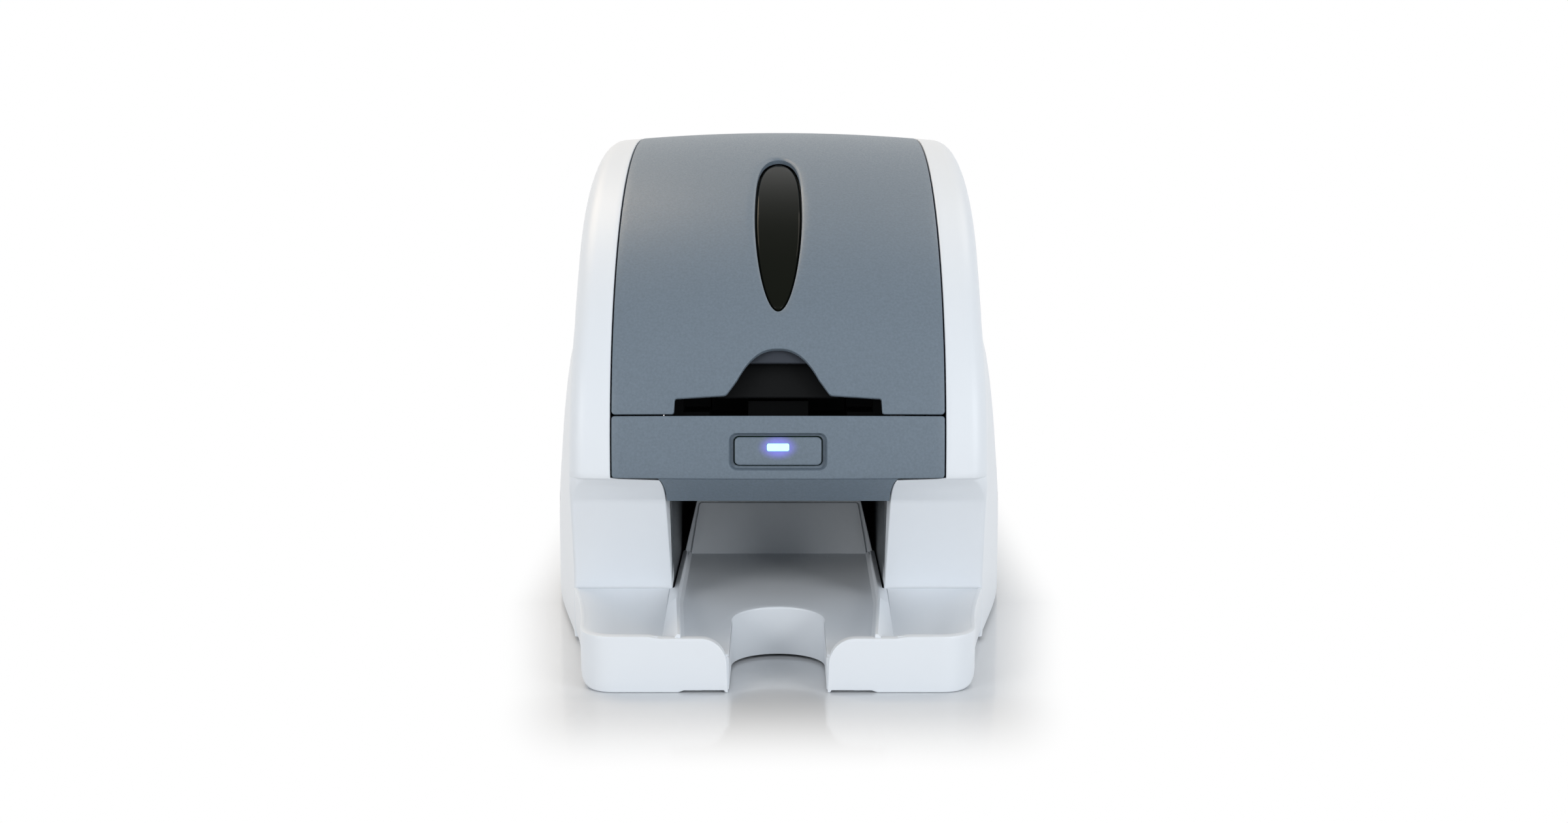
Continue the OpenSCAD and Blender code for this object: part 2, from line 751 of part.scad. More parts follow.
bush_wall = 1.5;
module bush(at) {
    tube(at, shaft_r + bush_wall, shaft_r + run_gap, plate_half, plate_out + eps);
    tube(at, shaft_r + bush_wall + 1.5, shaft_r + run_gap, plate_out, plate_out + 1);
}
module roller_bushes() {
    color("#b08d57") {
        both_sides() for (at = [pick, feed, platen, exit]) bush(at);
        bush(takeup);
    }
}

bar_r = 3;
bar_clear = 11;
bars = [[plate_front_y + 8, nose_z + 2],
    [ribbon_motor_c[0] + ribbon_motor_r + bar_r + bar_clear, plate_top - 12],
    [plate_rear_y - 8, 40], [plate_rear_y - 8, path_z + 30]];
module cross_bars() {
    color("#9a9da1") for (at = bars) rod(at, bar_r, -plate_half, plate_half);
}

module hinge_pins() {
    color("#b8bbc0") both_sides() rod([hinge_y, hinge_z], hinge_pin_r, plate_half - 1, rib_x + rib_w + 1);
}

// ---- Card magazine and card path ----

card_fit = 0.8;
magazine_y = [feed[0] - 14 - card_l - card_fit, feed[0] - 14];
magazine_wall = 2;
well_half = card_w / 2 + 0.6;
magazine_t = 2;
flare_half = 38;
module card_magazine() {
    color("#26282b") difference() {
        along_x(-plate_half + fit, plate_half - fit) polygon([
            [magazine_y[0], path_z - magazine_t], [magazine_y[1], path_z - magazine_t],
            [magazine_y[1], path_z + 14], [magazine_y[1] - 16, path_z + magazine_h],
            [magazine_y[0] + 26, path_z + magazine_h], [magazine_y[0], path_z + 26]]);
        block([-well_half, magazine_y[0] - 1, path_z], [well_half, magazine_y[1] - magazine_wall, body_h]);
        block([-flare_half, magazine_y[0] - 1, path_z + 2], [flare_half, magazine_y[0] + 16, body_h]);
        block([-well_half, magazine_y[1] - 5, path_z], [well_half, magazine_y[1] + 1, path_z + 8]);
        block([-22, pick[0] - roller_r - 0.6, 0], [22, pick[0] + roller_r + 0.6, path_z + 1]);
    }
    color("#3c3f44") block([-flare_half, magazine_y[0] - 2, path_z + 21],
        [flare_half, magazine_y[0] + 1.5, path_z + 26]);
}

module magazine_gate() {
    color("#9a9da1") block([-well_half + fit, magazine_y[1] - magazine_wall, path_z + card_t + 0.4],
        [well_half - fit, magazine_y[1], path_z + 8 - eps]);
}

weight_t = 6;
module card_weight() {
    color("#3a3d41") {
        block([-well_half + 0.6, magazine_y[0] + 18, path_z + 0.2],
            [well_half - 0.6, magazine_y[1] - magazine_wall - 0.5, path_z + 0.2 + weight_t]);
        block([-12, magazine_y[0] + 2, path_z + 0.2], [12, magazine_y[0] + 18 + eps, path_z + 0.2 + weight_t]);
    }
}

guide_t = 2;
guide_y = [magazine_y[1] + 0.5, platen[0] + 62];
drop_y = [clean[0] - 5, platen[0] - 19];
ear_t = 2.5;
module card_guide() {
    color("#2f3235") difference() {
        union() {
            block([-plate_half + fit, guide_y[0], path_z - guide_t], [plate_half - fit, guide_y[1], path_z]);
            both_sides() for (at = [pinch, clean])
                block([idler_half + fit, at[0] - 4, path_z - eps], [idler_half + fit + ear_t, at[0] + 4, at[1] + 4]);
        }
        for (at = [feed, platen])
            block([-idler_half - 0.6, at[0] - roller_r - 0.6, 0], [idler_half + 0.6, at[0] + roller_r + 0.6, path_z + 1]);
        block([-ribbon_half, drop_y[0], 0], [ribbon_half, drop_y[1], path_z + 1]);
        for (at = [pinch, clean]) rod(at, idler_pin_r + run_gap, -body_w, body_w);
    }
}

flap_pin = [drop_y[1] + 1.5, path_z - 5.5];
module diverter_flap() {
    color("#4b4f55") union() {
        rod(flap_pin, idler_pin_r, -plate_out - 1, plate_out + 1);
        rod(flap_pin, 3, -27, 27);
        block([-27, drop_y[0] + 2, path_z - 5], [27, flap_pin[0], path_z - 3.2]);
    }
}

chute_t = 1.5;
chute_up = [-sin(chute_tilt), cos(chute_tilt)];
module exit_guide() {
    color("#2f3235") difference() {
        along_x(-plate_half + fit, plate_half - fit) polygon([
            chute_foot, chute_top, chute_top - chute_t * chute_up, chute_foot - chute_t * chute_up]);
        block([-22, exit_contact[0] - 6, 0], [22, exit_contact[0] + 13, chute_top[1]]);
    }
}

// ---- Rollers, shafts and pulleys ----

module shaft(at, r, end_x) {
    color("#b8bbc0") rod(at, r, -plate_out - 3, end_x);
}

module rubber_roller(at, r, half) {
    color("#3d3f42") tube(at, r, shaft_r, -half, half);
}

module platen_roller() {
    rubber_roller(platen, roller_r, 30);
}
module platen_shaft() {
    shaft(platen, shaft_r, belt_x + belt_w + 1);
}
module platen_gear() {
    color("#e3dfd2") gear(platen, platen_teeth, motor_angle, shaft_r, gear_x);
}
module platen_pulley() {
    color("#c9ccd0") pulley(platen, belt_x);
}
module feed_roller() {
    rubber_roller(feed, roller_r, 30);
}
module feed_shaft() {
    shaft(feed, shaft_r, shaft_end_x);
}
module feed_pulleys() {
    color("#c9ccd0") {
        pulley(feed, belt_x);
        pulley(feed, belt2_x);
    }
}
module pick_roller() {
    rubber_roller(pick, roller_r, 20);
}
module pick_shaft() {
    shaft(pick, shaft_r, belt_x + belt_w + 1);
}
module pick_pulley() {
    color("#c9ccd0") pulley(pick, belt_x);
}
module exit_roller() {
    rubber_roller(exit, exit_r, 20);
}
module exit_shaft() {
    shaft(exit, shaft_r, shaft_end_x);
}
module exit_pulley() {
    color("#c9ccd0") pulley(exit, belt2_x);
}

module drive_belts() {
    color("#1f2022") {
        belt(pick, platen, belt_x);
        belt(exit, feed, belt2_x);
    }
}

module idler(at, r) {
    rod(at, r, -idler_half, idler_half);
    rod(at, idler_pin_r, -idler_half - fit - ear_t, idler_half + fit + ear_t);
}
module pinch_roller() {
    color("#3d3f42") idler(pinch, pinch_r);
}
module cleaning_roller() {
    color("#4f8fd0") idler(clean, clean_r);
}

// ---- Motors ----

motor_boss_r = 5;
motor_shaft_r = 1.5;
module motor_body(at, r, x0) {
    rod(at, r, x0, plate_half);
    rod(at, motor_boss_r, plate_half - eps, plate_out);
    rod(at, motor_boss_r - 1, plate_out - eps, gear_x - 1);
}
module drive_motor() {
    color("#8d9196") difference() {
        motor_body(motor, motor_r, plate_half - motor_l);
        rod(motor, motor_shaft_r + run_gap, plate_half - 10, body_w);
    }
}
module drive_pinion() {
    color("#c8a75a") {
        gear(motor, pinion_teeth, motor_angle + 180 + 180 / pinion_teeth, motor_shaft_r, gear_x);
        rod(motor, motor_shaft_r, plate_half - 9.9, gear_x + gear_w);
    }
}
module ribbon_motor() {
    color("#8d9196") difference() {
        motor_body(ribbon_motor_c, ribbon_motor_r, plate_half - 22);
        rod(ribbon_motor_c, motor_shaft_r + run_gap, plate_half - 10, body_w);
    }
}
module ribbon_pinion() {
    color("#c8a75a") {
        gear(ribbon_motor_c, pinion_teeth, ribbon_angle + 180 + 180 / pinion_teeth, motor_shaft_r, gear_x);
        rod(ribbon_motor_c, motor_shaft_r, plate_half - 9.9, gear_x + gear_w);
    }
}

// ---- Ribbon cartridge ----

frame_in = 35;
frame_t = 2.5;
stub_r = 5;
module takeup_gear() {
    color("#e3dfd2") {
        gear(takeup, takeup_teeth, ribbon_angle, shaft_r, gear_x);
        rod(takeup, shaft_r, frame_in + frame_t + 1, gear_x + gear_w);
    }
}
module takeup_spool() {
    color("#33363a") {
        rod(takeup, takeup_r, -ribbon_half, ribbon_half);
        rod(takeup, stub_r, -frame_in - frame_t, -ribbon_half + eps);
        rod(takeup, stub_r, ribbon_half - eps, frame_in + frame_t + 1);
    }
}
module supply_spool() {
    color("#33363a") {
        rod(supply, supply_r, -ribbon_half, ribbon_half);
        both_sides() rod(supply, stub_r, ribbon_half - eps, frame_in + frame_t);
    }
}

module ribbon_frame() {
    color("#d7dadd") {
        both_sides() difference() {
            along_x(frame_in, frame_in + frame_t) polygon([
                [supply[0] - 10, path_z], [takeup[0] + 8, path_z], [takeup[0] + 10.5, takeup[1] + 9],
                [takeup[0] - 10, takeup[1] + 9], [takeup[0] - 20, path_z + 12], [supply[0] + 25, path_z + 12],
                [supply[0] + 10, supply[1] + 9], [supply[0] - 10, supply[1] + 9]]);
            for (at = [supply, takeup]) rod(at, stub_r + run_gap, 0, body_w);
            for (at = [pinch, clean]) rod(at, idler_pin_r + 1, 0, body_w);
        }
        rod([takeup[0] + 2, path_z + 5], 3, -frame_in - eps, frame_in + eps);
    }
}

film_t = 0.2;
film_z = path_z + card_t - 0.3;
function film_line(d) = [
    supply + (supply_r + d) * [cos(-38), sin(-38)], [head_y - 4, film_z - d], [head_y + 4, film_z - d],
    takeup + (takeup_r + d) * [cos(-142), sin(-142)]];
module ribbon_film() {
    color("#5a3f6b") along_x(-ribbon_half + 1, ribbon_half - 1)
        polygon(concat(film_line(0.05), reversed(film_line(0.05 + film_t))));
}

// ---- Print head ----

head_bar_z = path_z + card_t + 0.4;
head_sink_z = path_z + 9;
module print_head() {
    color("#b3b7bb") {
        difference() {
            block([-arm_half + fit, head_y - head_l / 2, head_sink_z], [arm_half - fit, head_y + head_l / 2,
                head_sink_z + head_h]);
            for (i = [0 : 6]) block([-arm_half + 4 + i * 7, -body_l, head_sink_z + 10],
                [-arm_half + 6.5 + i * 7, body_l, head_pin_z - 5]);
        }
        block([-arm_half + 1, head_y - 3, head_bar_z], [arm_half - 1, head_y + 3, head_sink_z + eps]);
        rod([head_y, head_pin_z], head_pin_r, -arm_half - arm_w - 1, arm_half + arm_w + 1);
    }
}

// ---- Electronics ----

board_half = 40;
module main_board() {
    color("#1f5136") difference() {
        block([-board_half, standoff_y[0] - 6, board_z], [board_half, rear_y - 6, board_top]);
        for (x = [-1, 1], y = standoff_y) translate([x * standoff_x, y, board_z - 1]) cylinder(r = 1.6, h = 4);
    }
}
module board_components() {
    color("#2a2c2f") {
        block([-14, standoff_y[0] + 14, board_top], [4, standoff_y[0] + 32, board_top + 2.2]);
        block([10, standoff_y[0] + 16, board_top], [28, standoff_y[0] + 24, board_top + 6]);
        block([-33, standoff_y[0] + 6, board_top], [-23, standoff_y[0] + 22, board_top + 9]);
        for (x = [12, 22], y = [36, 48])
            translate([x, standoff_y[0] + y, board_top]) cylinder(r = 3.5, h = 11);
    }
}
module board_screws() {
    color("#9a9da1") for (x = [-1, 1], y = standoff_y) translate([x * standoff_x, y, 0]) {
        translate([0, 0, board_z - 4.5]) cylinder(r = 1.5, h = board_t + 5);
        translate([0, 0, board_top]) difference() {
            cylinder(r = 2.8, h = 1.6);
            translate([0, 0, 0.8]) cylinder(r = 1.4, h = 1, $fn = 6);
        }
    }
}

port_wall = 1;
module socket(x, size, inside) {
    translate([x, port_y - size[1], board_top]) difference() {
        translate([-size[0] / 2, 0, 0]) cube(size);
        translate([-inside[0] / 2, 4, (size[2] - inside[1]) / 2]) cube([inside[0], size[1], inside[1]]);
    }
}
module usb_port() {
    color("#b8bbc0") socket(usb_x, usb, [8.6, 7.8]);
}
module network_port() {
    color("#b8bbc0") socket(net_x, net, [11.8, 8.4]);
}
inlet_hole_r = 3.2;
module power_inlet() {
    color("#1f2022") translate([inlet_x, port_y, board_top]) {
        difference() {
            translate([-inlet[0] / 2, -inlet[1], 0]) cube(inlet);
            translate([0, -9, inlet[2] / 2]) rotate([-90, 0, 0]) cylinder(r = inlet_hole_r, h = 10);
        }
        translate([0, -9 - eps, inlet[2] / 2]) rotate([-90, 0, 0]) cylinder(r = 1, h = 8.5);
    }
}

rocker = [16, 9.6];
rocker_tilt = 8;
rocker_y = rear_y - 5;
switch_mid_z = switch_z + switch_size[2] / 2;
module switch_housing() {
    color("#1f2022") difference() {
        block([switch_x - switch_size[0] / 2, port_y - switch_size[1], switch_z],
            [switch_x + switch_size[0] / 2, port_y, switch_z + switch_size[2]]);
        block([switch_x - rocker[0] / 2 - fit, port_y - 10, switch_mid_z - rocker[1] / 2 - 1.1],
            [switch_x + rocker[0] / 2 + fit, rear_y, switch_mid_z + rocker[1] / 2 + 1.1]);
        rod([rocker_y, switch_mid_z], 1.2 + run_gap, switch_x - rocker[0] / 2 - 1.5, switch_x + rocker[0] / 2 + 1.5);
    }
}
module power_rocker() {
    color("#2b2d30") translate([0, rocker_y, switch_mid_z]) rotate([rocker_tilt, 0, 0]) {
        block([switch_x - rocker[0] / 2, -2.6, -rocker[1] / 2], [switch_x + rocker[0] / 2, 3.6, rocker[1] / 2]);
        rod([0, 0], 1.2, switch_x - rocker[0] / 2 - 1.4, switch_x + rocker[0] / 2 + 1.4);
    }
}

// ---- Output hopper ----

hopper_r = 14;
hopper_wall = 2.5;
floor_t = 2;
ledge_w = 4;
tray_tail_z = pan_top + fit;
floor_tilt = atan2(floor_rise, hopper_end_y - front_y);
pocket_z = 13;

// Plan of the hopper in front of the covers, inset by d.
function hopper_side(d) = concat(
    [for (k = [0 : 6]) let (y = (parting_y - seam) * (1 - k / 6) + (front_y + hopper_r) * k / 6)
        [plan_x(y) - d, y]],
    [for (a = [15 : 15 : 90]) [plan_x(front_y) - hopper_r + (hopper_r - d) * cos(a),
        front_y + hopper_r - (hopper_r - d) * sin(a)]]);

module hopper_plan(d) {
    polygon(concat(hopper_side(d), reversed([for (p = hopper_side(d)) [-p[0], p[1]]])));
}

// The card bay seen from above.
module bay_plan() {
    polygon([[-bay_front_half, front_y + hopper_wall], [bay_front_half, front_y + hopper_wall],
        [bay_half, parting_y - 7], [bay_half, hopper_end_y - 2], [-bay_half, hopper_end_y - 2],
        [-bay_half, parting_y - 7]]);
}

// The space above a plane that rises from z at the hopper's front.
module above_floor(z) {
    translate([-body_w, front_y, z]) rotate([floor_tilt, 0, 0])
        translate([0, -20, 0]) cube([2 * body_w, 200, 100]);
}

module output_hopper() {
    color("#dce2ea") difference() {
        union() {
            translate([0, 0, base_z]) linear_extrude(hopper_h - base_z) hopper_plan(0);
            block([-tail_half, parting_y - 10, tray_tail_z], [tail_half, hopper_end_y, hopper_h]);
        }
        intersection() {
            linear_extrude(body_h) bay_plan();
            above_floor(floor_front_z);
        }
        // Hollow under the bay's floor.
        difference() {
            translate([-bay_front_half + 2, front_y + hopper_wall, -1])
                cube([2 * bay_front_half - 4, hopper_end_y - 2 - front_y - hopper_wall, body_h]);
            above_floor(floor_front_z - floor_t);
            linear_extrude(body_h) notch_rim();
        }
        both_sides() pocket();
        linear_extrude(body_h) notch_plan();
        mouth();
        // Hollow under the pockets.
        translate([0, 0, -1]) linear_extrude(pocket_z - floor_t + 1) difference() {
            hopper_plan(hopper_wall);
            square([2 * (bay_half + ledge_w), 2 * body_l], center = true);
        }
    }
}

// The opening in the front wall, drafted, with its upper corners rounded over.
mouth_r = 9;
mouth_draft = 1;
function mouth_side() = concat(
    [[mouth_half - mouth_draft, -1]],
    [for (a = [180 : -15 : 90])
        [mouth_half + mouth_r + mouth_r * cos(a), hopper_h - mouth_r + mouth_r * sin(a)]],
    [[mouth_half + mouth_r, body_h]]);
module mouth() {
    translate([0, front_y + hopper_wall + 1, 0]) rotate([90, 0, 0]) linear_extrude(hopper_wall + 2)
        polygon(concat(mouth_side(), reversed([for (p = mouth_side()) [-p[0], p[1]]])));
}

notch_y = front_y + 38;
module notch_plan() {
    translate([0, notch_y]) circle(r = notch_r);
    translate([-notch_r, front_y + hopper_wall]) square([2 * notch_r, notch_y - front_y - hopper_wall]);
}
module notch_rim() {
    translate([0, notch_y]) circle(r = notch_r + 1.5);
    translate([-notch_r - 1.5, front_y + 1]) square([2 * notch_r + 3, notch_y - front_y]);
}

// The scooped pocket beside the bay: level with the walls at the covers, and deeper towards the front.
ledge_x = bay_half + ledge_w;
module pocket() {
    intersection() {
        linear_extrude(body_h) difference() {
            hopper_plan(hopper_wall);
            square([2 * ledge_x, 2 * body_l], center = true);
        }
        along_x(0, body_w) polygon(concat(
            [for (k = [0 : 10]) let (t = k / 10)
                [(parting_y - seam) * (1 - t) + (front_y + hopper_wall) * t,
                    hopper_h - (hopper_h - pocket_z) * sin(90 * t)]],
            [[front_y, pocket_z], [front_y, body_h], [parting_y, body_h], [parting_y, hopper_h]]));
    }
    ledge_slope();
}

// The cut that slopes the bay wall's outer face down to the pocket.
module ledge_slope() {
    y0 = front_y + hopper_wall;
    y1 = parting_y - seam;
    over = hopper_h + 1;
    polyhedron(
        [[bay_front_half + 1, y0, hopper_h], [ledge_x + eps, y0, pocket_z], [ledge_x + eps, y0, over],
            [bay_front_half + 1, y0, over], [ledge_x - 0.5, y1, hopper_h], [ledge_x + eps, y1, hopper_h - 0.1],
            [ledge_x + eps, y1, over], [ledge_x - 0.5, y1, over]],
        [[3, 2, 1, 0], [4, 5, 6, 7], [1, 4, 0], [1, 5, 4], [2, 6, 5, 1], [3, 7, 6, 2], [0, 4, 7, 3]]);
}

module hopper_back_wall() {
    color("#dce2ea") difference() {
        union() {
            translate([0, hopper_end_y, 0]) rotate([90, 0, 0]) linear_extrude(2) polygon([
                [-bay_half + 0.6, hopper_h], [bay_half - 0.6, hopper_h],
                [bay_half - 4.5, back_wall_z], [-bay_half + 4.5, back_wall_z]]);
            block([-bay_half + 5.3, hopper_end_y - 3, hopper_h], [bay_half - 5.3, hopper_end_y - 1, back_wall_z - 1.5]);
        }
    }
}

base_pan();
rubber_feet();
left_side_cover();
right_side_cover();
rear_cover();
front_panel();
left_chassis_plate();
right_chassis_plate();
cross_bars();
roller_bushes();
hinge_pins();
card_magazine();
magazine_gate();
card_weight();
card_guide();
exit_guide();
diverter_flap();
main_board();
board_components();
board_screws();
cover_screws();
usb_port();
network_port();
power_inlet();
switch_housing();
power_rocker();
status_board();
front_button();
status_light();
drive_motor();
drive_pinion();
platen_roller();
platen_shaft();
platen_gear();
platen_pulley();
feed_roller();
feed_shaft();
feed_pulleys();
pick_roller();
pick_shaft();
pick_pulley();
exit_roller();
exit_shaft();
exit_pulley();
drive_belts();
pinch_roller();
cleaning_roller();
ribbon_motor();
ribbon_pinion();
takeup_gear();
takeup_spool();
supply_spool();
ribbon_frame();
ribbon_film();
lid_shell();
lid_window();
lid_frame();
print_head();
output_hopper();
hopper_back_wall();
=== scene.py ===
"""A desktop printer for identity cards: its covers, lid, window, button and hopper as finished shells.

Lengths are in millimetres until a mesh is made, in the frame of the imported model: +Z up, front towards -Y.
"""
import json
import math

import bpy
import numpy as np
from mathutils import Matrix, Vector
from mathutils.geometry import delaunay_2d_cdt

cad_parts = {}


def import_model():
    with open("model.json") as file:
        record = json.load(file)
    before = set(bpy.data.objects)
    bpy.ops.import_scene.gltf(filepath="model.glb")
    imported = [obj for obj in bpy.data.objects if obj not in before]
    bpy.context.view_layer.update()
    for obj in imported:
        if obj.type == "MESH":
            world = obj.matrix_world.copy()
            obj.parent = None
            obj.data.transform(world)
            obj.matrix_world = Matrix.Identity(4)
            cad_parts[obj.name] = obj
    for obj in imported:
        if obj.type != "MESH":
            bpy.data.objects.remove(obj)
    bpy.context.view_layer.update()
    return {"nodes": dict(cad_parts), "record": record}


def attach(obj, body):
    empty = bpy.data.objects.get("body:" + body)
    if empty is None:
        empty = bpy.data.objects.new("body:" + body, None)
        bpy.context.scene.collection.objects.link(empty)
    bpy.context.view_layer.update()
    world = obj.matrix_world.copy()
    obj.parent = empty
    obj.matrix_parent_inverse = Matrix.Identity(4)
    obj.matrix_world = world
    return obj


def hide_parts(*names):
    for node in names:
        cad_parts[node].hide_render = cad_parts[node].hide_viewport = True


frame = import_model()
MM = 0.001

# ---- Driving sizes, the same as the construction's ----
BODY_W, BODY_L, BODY_H = 200.0, 390.0, 205.0
FRONT_Y, REAR_Y = -BODY_L / 2, BODY_L / 2
WALL = 2.5
SEAM = 0.6
BASE_Z = 1.5
NOSE_Y, NOSE_Z = FRONT_Y + 50.0, 71.1
CREST_Y, REAR_Z = 60.0, 55.0
FRONT_POWER, REAR_POWER = 2.2, 3.2
SHOULDER_X, FRONT_HALF = 80.5, 73.5
WIDEST_Y = -4.0
SHOULDER_R, REAR_R = 8.0, 25.0
LID_HALF = 65.0
CROWN = 2.6            # how much lower the lid is at its edges than on its middle line
CROWN_END = 75.0       # the half width beyond which the top drops no further
EDGE_R = 0.55          # rounding of the covers' thin edges
HINGE_Y = REAR_Y - 47.0
HINGE_DEPTH = 8.0
HINGE_SEAM_R = HINGE_DEPTH + 0.3
SLOT_W, SLOT_H = 80.4, 6.1
DOME_H, DOME_CURVE, DOME_POWER = 26.2, 0.0164, 2.4
DOME_TURN, DOME_FOOT, FOOT_H, FOOT_R = 16.0, 20.3, 7.3, 2.4
PANEL_TOP_Z, LID_LOW_Z = 95.8, 96.4
BUTTON_W, BUTTON_H, BUTTON_Z = 33.8, 11.0, 82.1
BUTTON_GAP = 0.4
BUTTON_SUNK, BUTTON_R = 0.25, 0.7
BEZEL_W, BEZEL_H, BEZEL_SUNK = 38.0, 14.4, 1.9
LIGHT_W, LIGHT_H = 8.7, 2.9
PARTING_Y, HOPPER_H = FRONT_Y + 76.0, 22.0
CHEEK_TOP = (NOSE_Y + 12.0, NOSE_Z - 10.6)
CHEEK_HALF, CHEEK_WIDER, CHEEK_FLARE = 43.0, 1.5, 3.4
CHEEK_FILLET = 1.6
HOPPER_END_Y = PARTING_Y + 73.0
BAY_HALF, BAY_FRONT_HALF = 40.0, 35.8
BAY_OUTER = BAY_HALF + 2.3
MOUTH_HALF, MOUTH_R, MOUTH_DRAFT = 19.4, 9.0, 1.0
NOTCH_R, NOTCH_Y = 18.0, FRONT_Y + 33.0
NOTCH_LEAN = 0.84      # how far the notch's wall leans back for each millimetre of height
FLOOR_Z, FLOOR_RISE = 14.0, 7.0
POCKET_Z = 13.0
SCOOP = 15.0           # how far in from the rim the pocket has its full depth
LEDGE_X = 44.2
HOPPER_R = 14.0
RIM_THICK = 1.7        # of the hopper's rim at its sides
FRONT_THICK = 2.6      # how much thicker the rim is at the front
RIM_DIP, RIM_STEP = 0.7, 0.7
FAR_OUT = BODY_W       # an x well away from the mouth, where the rim has no step
BACK_WALL_Z = 45.0


# ---- Mesh helpers ----

def make_object(name, verts, faces, material, body, replaced=(), slot=None, sharp=35.0):
    """A shaded mesh object from millimetre points, riding on a body."""
    mesh = bpy.data.meshes.new(name)
    mesh.from_pydata([(x * MM, y * MM, z * MM) for x, y, z in verts], [], faces)
    mesh.validate()
    mesh.shade_smooth()
    mesh.set_sharp_from_angle(angle=math.radians(sharp))
    obj = bpy.data.objects.new(name, mesh)
    bpy.context.scene.collection.objects.link(obj)
    obj.data.materials.append(material)
    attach(obj, body)
    if replaced:
        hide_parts(*replaced)
    return obj


def joined(parts):
    """One (verts, faces) from several."""
    verts, faces = [], []
    for part_verts, part_faces in parts:
        base = len(verts)
        verts.extend(part_verts)
        faces.extend([tuple(base + i for i in face) for face in part_faces])
    return verts, faces


def flipped(faces):
    return [tuple(reversed(face)) for face in faces]


def mirrored(part):
    verts, faces = part
    return [(-x, y, z) for x, y, z in verts], flipped(faces)


def box_mesh(low, high):
    (x0, y0, z0), (x1, y1, z1) = low, high
    verts = [(x, y, z) for z in (z0, z1) for y in (y0, y1) for x in (x0, x1)]
    faces = [(0, 2, 3, 1), (4, 5, 7, 6), (0, 1, 5, 4), (2, 6, 7, 3), (0, 4, 6, 2), (1, 3, 7, 5)]
    return verts, faces


def grid_faces(rows, columns, close_rows=False, close_columns=False):
    """Quads between the points of a grid that is stored row by row."""
    faces = []
    for i in range(rows if close_rows else rows - 1):
        for j in range(columns if close_columns else columns - 1):
            a, b, k = i * columns, (i + 1) % rows * columns, (j + 1) % columns
            faces.append((a + j, a + k, b + k, b + j))
    return faces


def swept(rings):
    """A closed solid through closed rings of points, capped at both ends."""
    rows, columns = len(rings), len(rings[0])
    faces = grid_faces(rows, columns, close_columns=True)
    faces += [tuple(reversed(range(columns))), tuple(range((rows - 1) * columns, rows * columns))]
    return [p for ring in rings for p in ring], faces


def turn(degrees):
    """Cosine and sine of each angle."""
    return [(math.cos(math.radians(a)), math.sin(math.radians(a))) for a in degrees]


def smooth(t):
    t = np.clip(t, 0.0, 1.0)
    return t * t * (3 - 2 * t)


def resample(points, spacing, closed=True):
    """Points along a polyline, evenly spaced between its corners."""
    pts = [np.array(p, float) for p in points]
    ends = zip(pts, pts[1:] + pts[:1]) if closed else zip(pts, pts[1:])
    out = []
    for a, b in ends:
        count = max(1, int(round(np.linalg.norm(b - a) / spacing)))
        out.extend(a + (b - a) * k / count for k in range(count))
    if not closed:
        out.append(pts[-1])
    return np.array(out)


def rounded(corners, steps=6):
    """A closed outline from (x, y, radius) corners."""
    out = []
    count = len(corners)
    for i, (x, y, r) in enumerate(corners):
        p = np.array([x, y], float)
        if r <= 0:
            out.append(p)
            continue
        a = np.array(corners[i - 1][:2], float) - p
        b = np.array(corners[(i + 1) % count][:2], float) - p
        ua, ub = a / np.linalg.norm(a), b / np.linalg.norm(b)
        half = math.acos(np.clip(np.dot(ua, ub), -1, 1)) / 2
        cut = min(r / math.tan(half), np.linalg.norm(a) * 0.49, np.linalg.norm(b) * 0.49)
        radius = cut * math.tan(half)
        mid = (ua + ub) / np.linalg.norm(ua + ub)
        centre = p + mid * radius / math.sin(half)
        start, end = p + ua * cut - centre, p + ub * cut - centre
        a0 = math.atan2(start[1], start[0])
        arc = (math.atan2(end[1], end[0]) - a0 + math.pi) % (2 * math.pi) - math.pi
        angles = [a0 + arc * k / steps for k in range(steps + 1)]
        out.extend(centre + radius * np.array([math.cos(a), math.sin(a)]) for a in angles)
    return np.array(out)


def rounded_rect(cx, cy, w, h, r, spacing, steps=6):
    return resample(rounded([(cx - w / 2, cy - h / 2, r), (cx + w / 2, cy - h / 2, r),
                             (cx + w / 2, cy + h / 2, r), (cx - w / 2, cy + h / 2, r)], steps), spacing)


def trapezoid(half_low, half_high, low, high, r_low, r_high, spacing):
    """An outline that is symmetrical about x = 0, from low to high, with rounded corners."""
    return resample(rounded([(-half_low, low, r_low), (half_low, low, r_low),
                             (half_high, high, r_high), (-half_high, high, r_high)]), spacing)


def offset(loop, d):
    """The closed loop moved d to its left (inwards for a counter-clockwise loop)."""
    def normals(e):
        return np.stack([-e[:, 1], e[:, 0]], 1) / np.maximum(np.linalg.norm(e, axis=1), 1e-9)[:, None]

    n = normals(loop - np.roll(loop, 1, 0)) + normals(np.roll(loop, -1, 0) - loop)
    scale = 2 / np.maximum((n * n).sum(1), 0.8)
    return loop + n * scale[:, None] * d


def normal_at(path, i):
    """Unit normal to the right of an open path at its point i."""
    a, b = np.array(path[max(i - 1, 0)]), np.array(path[min(i + 1, len(path) - 1)])
    t = (b - a) / np.linalg.norm(b - a)
    return np.array([t[1], -t[0]])


def inside(points, loop):
    x, y = points[:, 0], points[:, 1]
    hit = np.zeros(len(points), bool)
    a, b = loop, np.roll(loop, -1, 0)
    for (x0, y0), (x1, y1) in zip(a, b):
        if y0 == y1:
            continue
        cross = (y0 > y) != (y1 > y)
        hit ^= cross & (x < (x1 - x0) * (y - y0) / (y1 - y0) + x0)
    return hit


